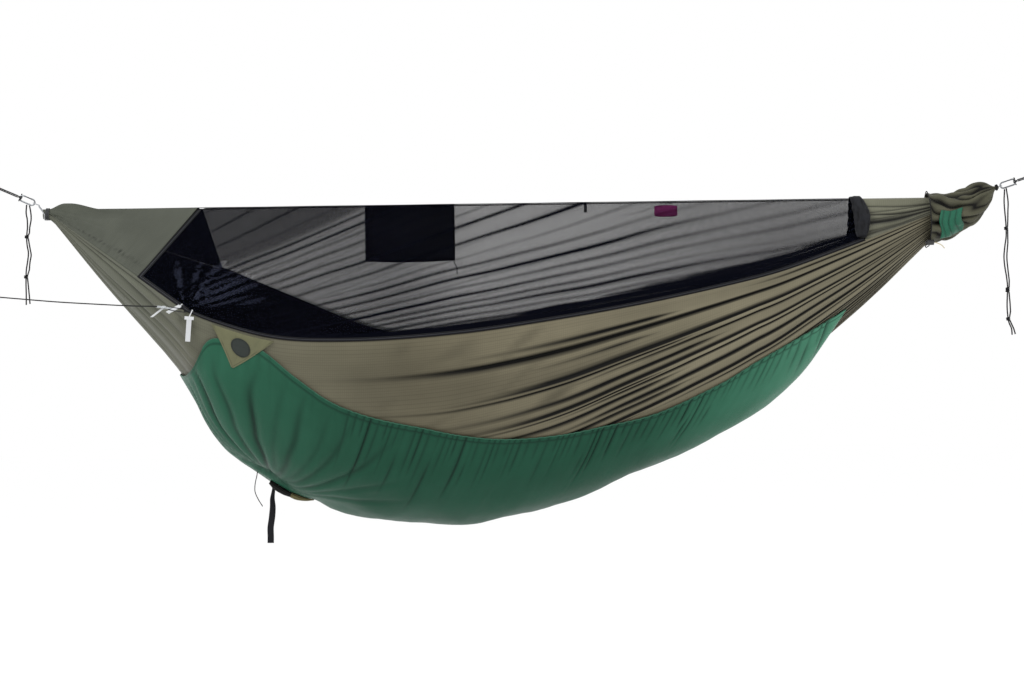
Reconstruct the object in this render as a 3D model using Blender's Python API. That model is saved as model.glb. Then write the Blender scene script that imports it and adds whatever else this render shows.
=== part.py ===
# Gathered-end hammock tent with bug net, wrapped insulation and storage sack.
# Metres, +Z up. The origin is the eye that the left suspension hangs from,
# +X runs along the ridge to the right and +Y runs away from the front side.

import math

import bpy
import bmesh
from mathutils import Matrix, Vector

# Overall sizes
ridge_span = 2.754        # left gather to right gather
left_reach = 0.240        # left hang eye to left gather, level
left_rise = 0.105         # left hang eye above the ridge
right_reach = 0.266       # right gather to right hang eye, level
right_rise = 0.085        # right hang eye above the ridge
body_depth = 0.887        # ridge to the body's lowest line
front_spread = 0.450      # ridge to the front edge at the tie-out
back_spread = 0.410       # ridge to the back edge at its widest
gather_radius = 0.012     # half width of the gathered cloth
gather_drop = 0.0257      # ridge to the gathered cloth's lowest line
neck_length = 0.020       # gathered cloth outside each gather

# Cloth
cloth = 0.0009            # woven body and panel cloth
netting = 0.0006
quilted = 0.0030          # insulated cover with its filling pressed
seam_gap = 0.0003         # between sewn or touching pieces
rim_gap = 0.0007          # body rim under a seam that folds over it
body_fold_depth = 0.016   # deepest pleat of the body
body_folds = 6.5          # main pleats across the body
cover_hem_gap = 0.0034    # cover above the body's skin at its hem
cover_loft = 0.076        # air and insulation under the lowest line
cover_fold_depth = 0.007
cover_folds = 6.0
cover_columns = 20        # points from hem to hem
hem_cord = 0.0030         # elastic in the cover's hems

# Ridge
tape_width = 0.010
tape_thickness = 0.0012
ridgeline_width = 0.0030
panel_top_share = 0.16231   # head panels run this far along the ridge
panel_top = panel_top_share * ridge_span
cuff_start_share = 0.87146
cuff_start = cuff_start_share * ridge_span  # net cuff along the ridge
cuff_width = 0.052
cuff_height = 0.013
cuff_room = 0.0019        # slack under the cuff
cuff_height_at_ridge = 0.007
net_corner_share = 0.66   # zip corner, along the gather to tie-out line
back_corner_share = 0.93  # the same on the back
end_run = 0.012           # first length of the panels at the left gather

# Zip
zip_tape_width = 0.0050
zip_tape_thickness = 0.0012
chain_gap = 0.0016        # between the two tapes
binding_width = 0.0080
corner_run = 0.008        # stretch beside a zip corner where the tape turns
net_ripple = 0.004
slider_length = 0.011
slider_width = 0.0085
slider_plate = 0.0014
slider_clearance = 0.0003
slider_from_corner = 0.019  # the first slider stops clear of the tie-out loop
bail_width = 0.0050
bail_rod = 0.0014
bail_height = 0.0040
pull_width = 0.014
pull_thickness = 0.0012
pull_length = 0.044
pull_neck = 0.0045
long_pull_length = 0.070
long_pull_neck = 0.021
pull_head_width = 0.026

# Ridge pocket, pouch and toggle
pocket_start_share = 0.34314
pocket_start = pocket_start_share * ridge_span
pocket_width = 0.267
pocket_depth = 0.164
pocket_room = 0.016       # front panel to back panel
pocket_mouth_drop = 0.030
sleeve_room = 0.0006      # sleeve around the ridgeline, all round
pouch_start_share = 0.65795
pouch_start = pouch_start_share * ridge_span
pouch_length = 0.070
pouch_height = 0.034
pouch_thickness = 0.030
toggle_share = 0.58315
toggle_place = toggle_share * ridge_span
toggle_width = 0.009
toggle_length = 0.024

ridgeline_seat = tape_thickness / 2 + seam_gap + ridgeline_width / 2
ridgeline_drop = ridgeline_seat + sleeve_room + cloth

# Corner patch of the cover
patch_thickness = 0.0012
patch_room = 0.0012       # patch above the cover
round_patch_radius = 0.026

# Drawn closure under the cover, and what hangs from it
closure_start_share = 0.25054
closure_start = closure_start_share * ridge_span
closure_length = 0.056
closure_thick = 0.024
closure_tip_length = 0.056
closure_tip_gap = 0.004
closure_seat = 0.0006     # closure above the cover
closure_side_share = 0.07
strap_width = 0.019
strap_thickness = 0.0014
drawcord_width = 0.0026

# Tie-out
loop_webbing = 0.0090
loop_thickness = 0.0016
hook_length = 0.044
hook_width = 0.015
hook_thickness = 0.0050
hook_rod = 0.0034
loop_room = 0.0010        # webbing loop round the hook's bar
corner_room = 0.0024      # webbing loop from the body's corner
tag_neck = 0.0030
tag_length = 0.040
tag_hang = 42             # degrees below the line's own way
tieout_line_width = 0.0034

# Suspension
sling_width = 0.0036      # one strand of the black sling
sling_eye = 0.024
loop_width = 0.0030       # grey loop from the gather to the carabiner
strand_gap = 0.0004
carabiner_length = 0.052
carabiner_width = 0.022
carabiner_rod = 0.0046
gate_rod = 0.0036
gate_length = 0.022
gate_end_gap = 0.0004
knuckle_radius = 0.0027
knuckle_cheek = 0.0012
pin_radius = 0.0009
pin_clearance = 0.0003
left_loop_length = 0.056
right_loop_length = 0.108
binding_turns = 3
binding_place_share = 0.30  # of neck_length
binding_cord = 0.0030
binding_pitch = binding_cord + strand_gap * 1.6
binding_room = 0.0026     # the gathered cloth isn't quite round
tail_width = 0.0042

# Storage sack
sack_cloth = 0.0010
neck_cord = 0.0030
mouth_cord = 0.0028
lock_length = 0.022
lock_width = 0.015
lock_thickness = 0.010
plunger_length = 0.010
plunger_travel_room = 0.0050
lining_seat = 0.0022      # stowed fold above the sack
lining_bulge = 0.0040

# Corner patch: along the ridge, and on the body's wrap
patch_tip_shares = [(0.192, -0.985), (0.256, -0.985), (0.213, -0.80)]
round_patch_shares = (0.2215, -0.915)

# Pouch rings: along it, and their size
pouch_shares = [
    (0.0, 0.35), (0.06, 0.72), (0.22, 0.96), (0.5, 1.0), (0.78, 0.95), (0.94, 0.7), (1.0, 0.35)]

# Outlines as shares: along ridge_span, out as a share of the spread,
# and down as a share of body_depth
tie_share = 0.1663
front_edge_shares = [
    (0.1663, 1.000, 0.355), (0.189, 0.990, 0.385), (0.2535, 0.945, 0.444),
    (0.324, 0.900, 0.458), (0.447, 0.833, 0.438), (0.536, 0.778, 0.402),
    (0.631, 0.700, 0.354), (0.721, 0.600, 0.298), (0.785, 0.500, 0.250),
    (0.851, 0.367, 0.180), (0.955, 0.110, 0.062)]
back_share = 0.1816
back_edge_shares = [
    (0.1816, 0.976, 0.206), (0.254, 1.000, 0.304), (0.348, 1.000, 0.422),
    (0.436, 0.951, 0.457), (0.536, 0.878, 0.440), (0.631, 0.793, 0.389),
    (0.721, 0.683, 0.327), (0.785, 0.573, 0.270), (0.851, 0.415, 0.197),
    (0.955, 0.122, 0.067)]
keel_shares = [
    (0.058, 0.252), (0.139, 0.543), (0.183, 0.722), (0.225, 0.817),
    (0.272, 0.896), (0.331, 0.953), (0.420, 0.998), (0.443, 1.000),
    (0.552, 0.947), (0.618, 0.868), (0.685, 0.784), (0.766, 0.660),
    (0.826, 0.513), (0.891, 0.344), (0.956, 0.153)]
plain_station_shares = [
    0.000, 0.045, 0.098, 0.146, 0.225, 0.285, 0.355, 0.430, 0.505, 0.580,
    0.650, 0.715, 0.775, 0.830, 0.925, 0.963, 1.000]
# Half width of the cover on the body's wrap, edge to keel is 1
hem_shares = [
    (0.150, 0.30), (0.170, 0.62), (0.186, 0.86), (0.205, 0.925), (0.238, 0.935),
    (0.276, 0.83), (0.309, 0.74), (0.341, 0.69), (0.414, 0.63), (0.485, 0.56),
    (0.583, 0.50), (0.650, 0.45), (0.723, 0.48), (0.770, 0.52), (0.861, 0.42)]
cover_start_share = 0.150
cover_keel_start_share = 0.142
cover_end_share = 0.860
cover_keel_end_share = 0.834
cover_tie_row = 0.023     # cover rows at the body's two corner stations, as shares of the cover
cover_back_row = 0.0445
# How far the cover hangs off the body along itself, as shares of cover_loft
cover_loft_shares = [
    (0, 0), (0.025, 0.14), (0.0445, 0.36), (0.082, 0.74), (0.133, 0.81), (0.263, 0.90), (0.394, 1.00),
    (0.586, 0.80), (0.684, 0.68), (0.782, 0.68), (0.900, 0.61), (0.965, 0.42), (1, 0)]
# Sack rings: along the last stretch, centre height, radius, as shares of sack_size
sack_size = 0.100
sack_shares = [
    (-1.24, -0.690, 0.800), (-1.10, -0.660, 0.760), (-0.90, -0.620, 0.740),
    (-0.64, -0.600, 0.700), (-0.30, -0.440, 0.640), (0.02, -0.300, 0.590),
    (0.34, -0.060, 0.500), (0.60, 0.130, 0.300), (0.80, 0.256, 0.057), (0.91, 0.291, 0.053)]

# Cord routes, hand chosen, in metres from the origin
left_tail_front_route = [
    (0.1705, -0.0036, -0.0885), (0.1690, -0.0055, -0.1130), (0.1718, -0.0040, -0.1330),
    (0.1718, -0.0020, -0.1560), (0.1700, -0.0020, -0.1730), (0.1690, -0.0022, -0.1950),
    (0.1705, -0.0020, -0.2130), (0.1735, -0.0018, -0.2330), (0.1712, -0.0022, -0.2560),
    (0.1668, -0.0030, -0.2840), (0.1655, -0.0020, -0.3060), (0.1650, -0.0024, -0.3290),
    (0.1655, -0.0030, -0.3560), (0.1650, -0.0030, -0.3890)]
left_tail_back_route = [
    (0.1790, -0.0030, -0.0910), (0.1830, -0.0055, -0.1130), (0.1832, -0.0030, -0.1330),
    (0.1785, -0.0008, -0.1560), (0.1772, -0.0008, -0.1730)]
left_tail_between = [
    (0.1790, -0.0010, -0.2230), (0.1815, -0.0012, -0.2400), (0.1778, -0.0010, -0.2600),
    (0.1752, -0.0004, -0.2840)]
left_tail_end = [(0.1738, -0.0010, -0.3560), (0.1760, -0.0010, -0.3860)]
right_tail_front_route = [
    (3.1034, -0.0030, -0.0832), (3.1010, -0.0060, -0.1200), (3.1028, -0.0050, -0.1500),
    (3.1050, -0.0040, -0.1750), (3.1064, -0.0030, -0.2010), (3.1060, -0.0030, -0.2270),
    (3.1022, -0.0024, -0.2530), (3.0990, -0.0022, -0.2850), (3.1010, -0.0022, -0.3150),
    (3.1060, -0.0026, -0.3480), (3.1085, -0.0028, -0.3790), (3.1072, -0.0030, -0.4020),
    (3.1062, -0.0030, -0.4400), (3.1100, -0.0030, -0.4790), (3.1180, -0.0032, -0.5000),
    (3.1200, -0.0032, -0.5200)]
right_tail_back_route = [
    (3.1086, -0.0022, -0.0803), (3.1130, -0.0050, -0.1200), (3.1125, -0.0030, -0.1500),
    (3.1122, -0.0012, -0.1750)]
right_tail_between = [
    (3.1115, -0.0006, -0.2440), (3.1080, -0.0004, -0.2850), (3.1105, -0.0004, -0.3220),
    (3.1140, -0.0008, -0.3560)]
right_tail_lower = [(3.1155, -0.0008, -0.4250), (3.1165, -0.0008, -0.4500)]
right_tail_end = [(3.1255, -0.0010, -0.5020), (3.1300, -0.0010, -0.5180)]
tieout_line_steps = [  # from the body's front corner
    (-0.0740, -0.0570, 0.0134), (-0.0980, -0.0640, 0.0144), (-0.1480, -0.0800, 0.0159),
    (-0.2380, -0.1180, 0.0214), (-0.3380, -0.1640, 0.0284), (-0.4380, -0.2120, 0.0379),
    (-0.5080, -0.2500, 0.0449), (-0.5480, -0.2770, 0.0499), (-0.5730, -0.3020, 0.0519),
    (-0.5920, -0.3160, 0.0534), (-0.6050, -0.3100, 0.0544), (-0.6010, -0.2950, 0.0549),
    (-0.5830, -0.2840, 0.0544), (-0.5600, -0.2760, 0.0537)]
pocket_cord_route = [
    (1.4495, -0.0060, -0.2743), (1.4502, -0.0060, -0.2800), (1.4560, -0.0040, -0.2900),
    (1.4585, -0.0020, -0.3020), (1.4578, 0.0000, -0.3140)]
cord_end_steps = [(0.010, -0.001, -0.003), (0.022, 0.000, -0.009), (0.030, 0.001, -0.018)]
drawcord_route = [
    (0.8620, -0.1150, -0.8929), (0.8600, -0.1160, -0.9060), (0.8575, -0.1190, -0.9170),
    (0.8545, -0.1210, -0.9350), (0.8550, -0.1200, -0.9540), (0.8640, -0.1170, -0.9760),
    (0.8760, -0.1150, -0.9960)]
strap_route = [
    (0.9060, -0.0700, -0.9314), (0.9045, -0.0705, -0.9520), (0.9012, -0.0720, -0.9750),
    (0.9020, -0.0730, -1.0010), (0.8990, -0.0720, -1.0330), (0.8945, -0.0700, -1.0620),
    (0.8945, -0.0700, -1.0880), (0.8940, -0.0690, -1.1080)]

overrun = 0.002           # how far a cutter passes the face it cuts


def clear_scene():
    for thing in list(bpy.data.objects):
        bpy.data.objects.remove(thing, do_unlink=True)


def linear(channel):
    share = channel / 255
    return share / 12.92 if share <= 0.04045 else ((share + 0.055) / 1.055) ** 2.4


def finish(name, red, green, blue, roughness, metallic=0.0):
    material = bpy.data.materials.new(name)
    material.use_nodes = True
    shader = material.node_tree.nodes["Principled BSDF"]
    shader.inputs["Base Color"].default_value = (
        linear(red), linear(green), linear(blue), 1.0)
    shader.inputs["Roughness"].default_value = roughness
    shader.inputs["Metallic"].default_value = metallic
    return material


def place(x, y, z):
    """A point measured from the left gather, in the part's frame."""
    return Vector((left_reach + x, y, z - left_rise))


def add_mesh(name, mesh, look):
    thing = bpy.data.objects.new(name, mesh)
    bpy.context.collection.objects.link(thing)
    mesh.materials.append(finish(name, *look))
    return thing


def mesh_from(name, work, look, smooth=True):
    """Turn a bmesh into a named object with its faces pointing out."""
    bmesh.ops.recalc_face_normals(work, faces=work.faces)
    mesh = bpy.data.meshes.new(name)
    work.to_mesh(mesh)
    work.free()
    if smooth:
        mesh.shade_smooth()
        mesh.set_sharp_from_angle(angle=math.radians(40))
    return add_mesh(name, mesh, look)


def set_origin(thing, point):
    """Put the origin on a joint's axis and keep the shape in its place."""
    thing.data.transform(Matrix.Translation(-point))
    thing.location = point


def spline_row(rows, x):
    """Smooth values at x through rows of (x, value, value, ...)."""
    if x <= rows[0][0]:
        return rows[0][1:]
    if x >= rows[-1][0]:
        return rows[-1][1:]
    i = max(k for k in range(len(rows) - 1) if rows[k][0] <= x)
    a, b = rows[i], rows[i + 1]
    span = b[0] - a[0]
    t = (x - a[0]) / span
    values = []
    for c in range(1, len(a)):
        slope = (b[c] - a[c]) / span
        slope_a, slope_b = slope, slope
        if i > 0:
            before = rows[i - 1]
            slope_a = (slope + (a[c] - before[c]) / (a[0] - before[0])) / 2
        if i + 2 < len(rows):
            after = rows[i + 2]
            slope_b = (slope + (after[c] - b[c]) / (after[0] - b[0])) / 2
        values.append((2 * t**3 - 3 * t**2 + 1) * a[c] + (t**3 - 2 * t**2 + t) * span * slope_a
                      + (3 * t**2 - 2 * t**3) * b[c] + (t**3 - t**2) * span * slope_b)
    return tuple(values)


def smooth_route(points, spacing, most=80):
    """Read a smooth curve through the route's points, evenly spaced."""
    knots = [Vector(p) for p in points]
    fine = []
    for i in range(len(knots) - 1):
        p1, p2 = knots[i], knots[i + 1]
        p0 = knots[i - 1] if i > 0 else p1 * 2 - p2
        p3 = knots[i + 2] if i + 2 < len(knots) else p2 * 2 - p1
        for k in range(20):
            t = k / 20
            fine.append((p1 * 2 + (p2 - p0) * t + (p0 * 2 - p1 * 5 + p2 * 4 - p3) * t**2
                         + (p1 * 3 - p0 - p2 * 3 + p3) * t**3) / 2)
    fine.append(knots[-1])
    return even_points(fine, spacing, most)


def even_points(fine, spacing, most=80):
    reach = [0.0]
    for a, b in zip(fine, fine[1:]):
        reach.append(reach[-1] + (b - a).length)
    count = max(4, min(most, round(reach[-1] / spacing) + 1))
    points, k = [], 0
    for i in range(count):
        goal = reach[-1] * i / (count - 1)
        while k < len(fine) - 2 and reach[k + 1] < goal:
            k += 1
        step = reach[k + 1] - reach[k]
        share = (goal - reach[k]) / step if step > 0 else 0
        points.append(fine[k].lerp(fine[k + 1], min(max(share, 0), 1)))
    return points


def tube(name, points, width, look, resolution=2, closed=False):
    """A round cord or rod along points."""
    curve = bpy.data.curves.new(name, "CURVE")
    curve.dimensions = "3D"
    curve.bevel_depth = width / 2
    curve.bevel_resolution = resolution
    curve.use_fill_caps = not closed
    run = curve.splines.new("POLY")
    run.points.add(len(points) - 1)
    for knot, point in zip(run.points, points):
        knot.co = (point[0], point[1], point[2], 1)
    run.use_cyclic_u = closed
    run.use_smooth = True
    thing = bpy.data.objects.new(name, curve)
    bpy.context.collection.objects.link(thing)
    curve.materials.append(finish(name, *look))
    return thing


def loft(name, rings, look, hollow=False):
    """Skin rings of points. Closed at both ends, or a ring of rings if hollow."""
    work = bmesh.new()
    skins = [[work.verts.new(p) for p in ring] for ring in rings]
    pairs = list(zip(skins, skins[1:]))
    if hollow:
        pairs.append((skins[-1], skins[0]))
    for a, b in pairs:
        for k in range(len(a)):
            n = (k + 1) % len(a)
            work.faces.new((a[k], a[n], b[n], b[k]))
    if not hollow:
        work.faces.new(skins[0])
        work.faces.new(skins[-1])
    return mesh_from(name, work, look)


def grid_normals(grid, wrap):
    rows, cols = len(grid), len(grid[0])
    normals = []
    for i in range(rows):
        line = []
        for j in range(cols):
            along = grid[min(i + 1, rows - 1)][j] - grid[max(i - 1, 0)][j]
            if wrap:
                across = grid[i][(j + 1) % cols] - grid[i][j - 1]
            else:
                across = grid[i][min(j + 1, cols - 1)] - grid[i][max(j - 1, 0)]
            line.append(along.cross(across).normalized())
        normals.append(line)
    return normals


def sheet(name, grid, low, high, look, wrap=False):
    """A closed solid of cloth between two offsets from a grid of points."""
    normals = grid_normals(grid, wrap)
    work = bmesh.new()
    layers = []
    for offset in (low, high):
        layers.append([[work.verts.new(p + n * offset) for p, n in zip(row, line)]
                       for row, line in zip(grid, normals)])
    rows, cols = len(grid), len(grid[0])
    spans = cols if wrap else cols - 1
    for layer in layers:
        for i in range(rows - 1):
            for j in range(spans):
                n = (j + 1) % cols
                work.faces.new((layer[i][j], layer[i][n], layer[i + 1][n], layer[i + 1][j]))
    below, above = layers
    for i in (0, rows - 1):
        for j in range(spans):
            n = (j + 1) % cols
            work.faces.new((below[i][j], below[i][n], above[i][n], above[i][j]))
    if not wrap:
        for j in (0, cols - 1):
            for i in range(rows - 1):
                work.faces.new((below[i][j], below[i + 1][j], above[i + 1][j], above[i][j]))
    return mesh_from(name, work, look)


def block(work, low, high, matrix=Matrix()):
    """Add a box between two corners to a bmesh."""
    size = [h - l for l, h in zip(low, high)]
    middle = [(h + l) / 2 for l, h in zip(low, high)]
    made = bmesh.ops.create_cube(work, size=1.0)
    shape = matrix @ Matrix.Translation(middle) @ Matrix.Diagonal((*size, 1))
    bmesh.ops.transform(work, matrix=shape, verts=made["verts"])


def rod(work, radius, length, matrix, sides=16):
    """Add a round rod along its own Z, centred, to a bmesh."""
    made = bmesh.ops.create_cone(work, cap_ends=True, segments=sides, radius1=radius,
                                 radius2=radius, depth=length)
    bmesh.ops.transform(work, matrix=matrix, verts=made["verts"])


def combine(target, name, fill, operation):
    """Join to, or cut from, the target the shape that fill adds to a bmesh."""
    work = bmesh.new()
    fill(work)
    bmesh.ops.recalc_face_normals(work, faces=work.faces)
    mesh = bpy.data.meshes.new(name)
    work.to_mesh(mesh)
    work.free()
    tool = bpy.data.objects.new(name, mesh)
    bpy.context.collection.objects.link(tool)
    tool.hide_render = True
    tool.display_type = "WIRE"
    change = target.modifiers.new(name, "BOOLEAN")
    change.operation = operation
    change.solver = "EXACT"
    change.object = tool


# The body's surface

def body_stations():
    """Places along the ridge where every long sheet has a row of points."""
    corners = [tie_share * ridge_span, back_share * ridge_span, cuff_start + cuff_width / 2]
    plain = [share * ridge_span for share in plain_station_shares]
    return sorted(plain + corners) + [ridge_span + neck_length]


def edge(side, x):
    """The body's top edge, side -1 in front and 1 at the back, from the left gather."""
    share = x / ridge_span
    rows, spread, corner = front_edge_shares, front_spread, tie_share
    if side > 0:
        rows, spread, corner = back_edge_shares, back_spread, back_share
    rows = rows + [(1.0, gather_radius / spread, gather_radius / body_depth)]
    if share < corner:
        t = max(0, share) / corner
        out = gather_radius + (rows[0][1] * spread - gather_radius) * t
        down = gather_radius + (rows[0][2] * body_depth - gather_radius) * t
    else:
        out, down = spline_row(rows, share)
        out, down = out * spread, down * body_depth
    return place(x, side * out, -down)


def keel_drop(x):
    """How far the body's lowest line lies below the ridge."""
    rows = [(share, down * body_depth) for share, down in keel_shares]
    return spline_row([(0, gather_drop)] + rows + [(1, gather_drop)], x / ridge_span)[0]


def wrap_point(x, v):
    """A point of the body's skin: v is -1 at the front edge, 0 at the keel, 1 at the back."""
    rim = edge(-1 if v < 0 else 1, x)
    low = place(x, 0, -keel_drop(x))
    turn = abs(v) * math.pi / 2
    return Vector((rim.x, rim.y * math.sin(turn), low.z + (rim.z - low.z) * (1 - math.cos(turn))))


def wrap_normal(x, v):
    """The way out of the body's skin."""
    step_x = ridge_span / 2000
    step_v = 1 / 200
    side = 1 if v > 0 else -1
    if abs(v) < step_v:
        across = wrap_point(x, step_v) - wrap_point(x, -step_v)
    else:
        across = (wrap_point(x, v) - wrap_point(x, v - side * step_v)) * side
    along = wrap_point(min(x + step_x, ridge_span), v) - wrap_point(max(x - step_x, 0), v)
    return across.cross(along).normalized()


def body_surface(columns=24):
    grid = []
    for x in [-neck_length] + body_stations():
        share = x / ridge_span
        row = []
        for j in range(columns + 1):
            v = 2 * j / columns - 1
            point = wrap_point(x, v)
            if abs(v) == 1:
                point = point - Vector((0, 0, rim_gap))
            along = min(max(share, 0), 1)
            grow = math.sin(math.pi * along) ** 0.5 * (0.15 + 0.85 * along ** 1.5)
            taper = 1 - abs(v) ** 6
            fold = (1 - math.cos(2 * math.pi * body_folds * v)) / 2
            depth = body_fold_depth * grow * taper * fold
            row.append(point - wrap_normal(x, v) * depth)
        grid.append(row)
    return grid


def hammock_body():
    sheet("hammock_body", body_surface(), 0, cloth, (104, 100, 82, 0.62))


# The cover that wraps the body from below

def cover_share(s, w):
    """Where along the ridge a cover row lies. Early rows keep to the body's corner stations."""
    bend = abs(w) ** 1.5
    knots = [(0, cover_keel_start_share + (cover_start_share - cover_keel_start_share) * bend),
             (cover_tie_row, tie_share), (cover_back_row, back_share),
             (1, cover_keel_end_share + (cover_end_share - cover_keel_end_share) * bend)]
    for (s0, low), (s1, high) in zip(knots, knots[1:]):
        if s <= s1 or s1 == 1:
            return low + (high - low) * (s - s0) / (s1 - s0)


def cover_offset(s, w):
    """How far the cover's inside stands off the body's skin, before its folds, and its swell."""
    swell = spline_row(cover_loft_shares, s)[0] * (1 - abs(w) ** 2.6)
    return cover_hem_gap + cover_loft * swell, swell


def cover_point(s, w, extra=0.0):
    """A point on the cover's inside: s along it, w from hem (-1) over the keel to hem (1)."""
    share = cover_share(s, w)
    reach = spline_row(hem_shares, cover_share(s, 1))[0]
    x, v = share * ridge_span, w * reach
    offset, swell = cover_offset(s, w)
    fold = (math.cos(2 * math.pi * cover_folds * (s + 0.03 * math.sin(5 * w))) - 1) / 2
    return wrap_point(x, v) + wrap_normal(x, v) * (offset + cover_fold_depth * fold * swell + extra)


def cover_steps(rows=16):
    steps = [0, cover_tie_row / 2, cover_tie_row, (cover_tie_row + cover_back_row) / 2, cover_back_row]
    return steps + [cover_back_row + (1 - cover_back_row) * k / rows for k in range(1, rows + 1)]


def cover_grid():
    return [[cover_point(s, 2 * j / cover_columns - 1) for j in range(cover_columns + 1)]
            for s in cover_steps()]


def cover_flat(s, w):
    """A point on the cover's outside, on the flats between its rows and columns."""
    steps = cover_steps()
    i = max(k for k in range(len(steps) - 1) if steps[k] <= s)
    along = (s - steps[i]) / (steps[i + 1] - steps[i])
    j = math.floor((w + 1) / 2 * cover_columns)
    across = (w + 1) / 2 * cover_columns - j
    sides = [2 * j / cover_columns - 1, 2 * (j + 1) / cover_columns - 1]
    ends = []
    for n in (i, i + 1):
        left, right = [cover_point(steps[n], w_side, quilted) for w_side in sides]
        ends.append(left.lerp(right, across))
    return ends[0].lerp(ends[1], along)


def underlayer():
    sheet("underlayer", cover_grid(), -quilted, 0, (52, 96, 76, 0.5))


def underlayer_hems():
    grid = cover_grid()
    normals = grid_normals(grid, False)
    for name, rim, inner in (("underlayer_hem_front", 0, 1), ("underlayer_hem_back", -1, -2)):
        points = []
        for row, line in list(zip(grid, normals))[4:-1]:
            out = (row[rim] - row[inner]).normalized()
            points.append(row[rim] - line[rim] * (quilted / 2) + out * (hem_cord / 2 + seam_gap * 3))
        tube(name, points, hem_cord, (36, 78, 60, 0.55))


# Flat seams between the ridge and the body's edge

def zip_path(side):
    """The path of a net's edge: down from the ridge to its corner, then along the body."""
    corner_share = net_corner_share if side < 0 else back_corner_share
    corner = (tie_share if side < 0 else back_share) * ridge_span
    path = [place(panel_top, 0, 0), edge(side, corner * corner_share)]
    last = cuff_start + cuff_width / 2
    path += [edge(side, x) for x in body_stations() if corner * 0.999 < x < last * 1.001]
    if side < 0:
        a, b, c = path[1:4]
        run = (b - a).normalized() * corner_run
        path[2:3] = [a + run, b - run, b, b + (c - b).normalized() * corner_run]
    return path


def path_frames(path):
    """Mitred inward directions, and normals, at each vertex of a net's edge."""
    inward, normal = [], []
    for k, (a, b) in enumerate(zip(path, path[1:])):
        run = (b - a).normalized()
        goal = Vector((a.x + panel_top if k == 0 else (a.x + b.x) / 2, 0, place(0, 0, 0).z)) - b
        face = run.cross(goal).normalized()
        normal.append(face)
        inward.append(face.cross(run).normalized())
    mitres = [inward[0]]
    for a, b in zip(inward, inward[1:]):
        mitres.append((a + b) / (1 + a.dot(b)))
    mitres.append(inward[-1])
    faces = [normal[0]] + [(a + b).normalized() for a, b in zip(normal, normal[1:])] + [normal[-1]]
    return mitres, faces


def ribbon(name, side, near, far, thickness, look, start=0.0):
    """A band beside a net's edge, between two distances from it."""
    path = zip_path(side)
    mitres, faces = path_frames(path)
    if start:
        path[0] = path[0] + (path[1] - path[0]).normalized() * start
    rings = []
    for p, m, n in zip(path, mitres, faces):
        half = n * (thickness / 2)
        rings.append([p + m * near - half, p + m * far - half, p + m * far + half, p + m * near + half])
    loft(name, rings, look)


def zip_tapes():
    low = seam_gap + zip_tape_width
    clear = tape_width
    ribbon("zip_tape_lower", -1, seam_gap, low, zip_tape_thickness, (24, 24, 28, 0.7), clear)
    ribbon("zip_tape_upper", -1, low + chain_gap, low + chain_gap + zip_tape_width,
           zip_tape_thickness, (24, 24, 28, 0.7), clear)
    ribbon("edge_binding_back", 1, seam_gap, seam_gap + binding_width, zip_tape_thickness,
           (24, 24, 28, 0.7), clear)


def ridge_edge(side, x):
    return place(x, side * (tape_width / 2 + rim_gap), 0)


def bug_net(name, side, band, rows=6):
    """Net from the ridge to the body's edge, as columns from its left edge to the cuff."""
    path = zip_path(side)
    mitres, _ = path_frames(path)
    base = [p + m * band for p, m in zip(path[1:], mitres[1:])]
    run = (path[0] - path[1]).normalized()
    top_y = ridge_edge(side, 0).y
    first_top = base[0] + run * ((top_y - base[0].y) / run.y)
    left = first_top.x
    last = cuff_start + cuff_width / 2 - seam_gap
    tops = []
    for p in path[1:]:
        share = (p.x - path[1].x) / (path[-1].x - path[1].x)
        tops.append(ridge_edge(side, left - left_reach + (last - left + left_reach) * share))
    tops[0] = first_top
    grid = []
    for k, (low, top) in enumerate(zip(base, tops)):
        ripple = net_ripple * math.sin(math.pi * k / (len(base) - 1))
        line = []
        for j in range(rows + 1):
            t = j / rows
            point = low.lerp(top, t)
            wave = math.sin(math.pi * t) * math.sin(2 * math.pi * (k * 0.31 + t * 0.8))
            line.append(point + Vector((0, side * 0.67, 0.74)) * ripple * wave)
        grid.append(line)
    sheet(name, grid, -netting / 2, netting / 2, (70, 73, 80, 0.8))


def bug_nets():
    front_band = seam_gap * 3 + zip_tape_width * 2 + chain_gap
    bug_net("bug_net_front", -1, front_band)
    bug_net("bug_net_back", 1, seam_gap * 3 + binding_width)


def head_panel(name, side, columns=7, rows=5):
    path = zip_path(side)
    mitres, _ = path_frames(path)
    outward = -mitres[0].normalized() * seam_gap
    top_end, low_end = path[0] + outward, path[1] + outward
    run = (low_end - top_end).normalized()
    top_end = top_end + run * (tape_width * 0.9)
    top_end = Vector((top_end.x, side * (tape_width / 2 + rim_gap), place(0, 0, 0).z))
    low_end = low_end - run * seam_gap
    top_start, low_start = ridge_edge(side, -neck_length), edge(side, -neck_length)
    grid = []
    top_gather, low_gather = ridge_edge(side, 0), edge(side, 0)
    for i in range(columns + 2):
        t = max(0, i - 1) / columns
        top, low = top_gather.lerp(top_end, t), low_gather.lerp(low_end, t)
        if i == 0:
            top, low = top_start, low_start
        low = low + (top - low).normalized() * seam_gap
        grid.append([low.lerp(top, j / rows) for j in range(rows + 1)])
    sheet(name, grid, -cloth / 2, cloth / 2, (110, 112, 96, 0.6))


def foot_panel(rows=5):
    """The cloth over the ridge from the cuff to the right gather."""
    start = cuff_start + cuff_width / 2 + seam_gap
    stations = [start] + [x for x in body_stations() if x > start + seam_gap]
    grid = []
    for x in stations:
        line = []
        for side in (-1, 1):
            rim, top = edge(side, x) + Vector((0, 0, seam_gap)), ridge_edge(side, x)
            half = [rim.lerp(top, k / rows) for k in range(rows + 1)]
            line += half if side < 0 else half[::-1]
        grid.append(line)
    sheet("foot_panel", grid, -cloth / 2, cloth / 2, (124, 124, 108, 0.6))


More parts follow.
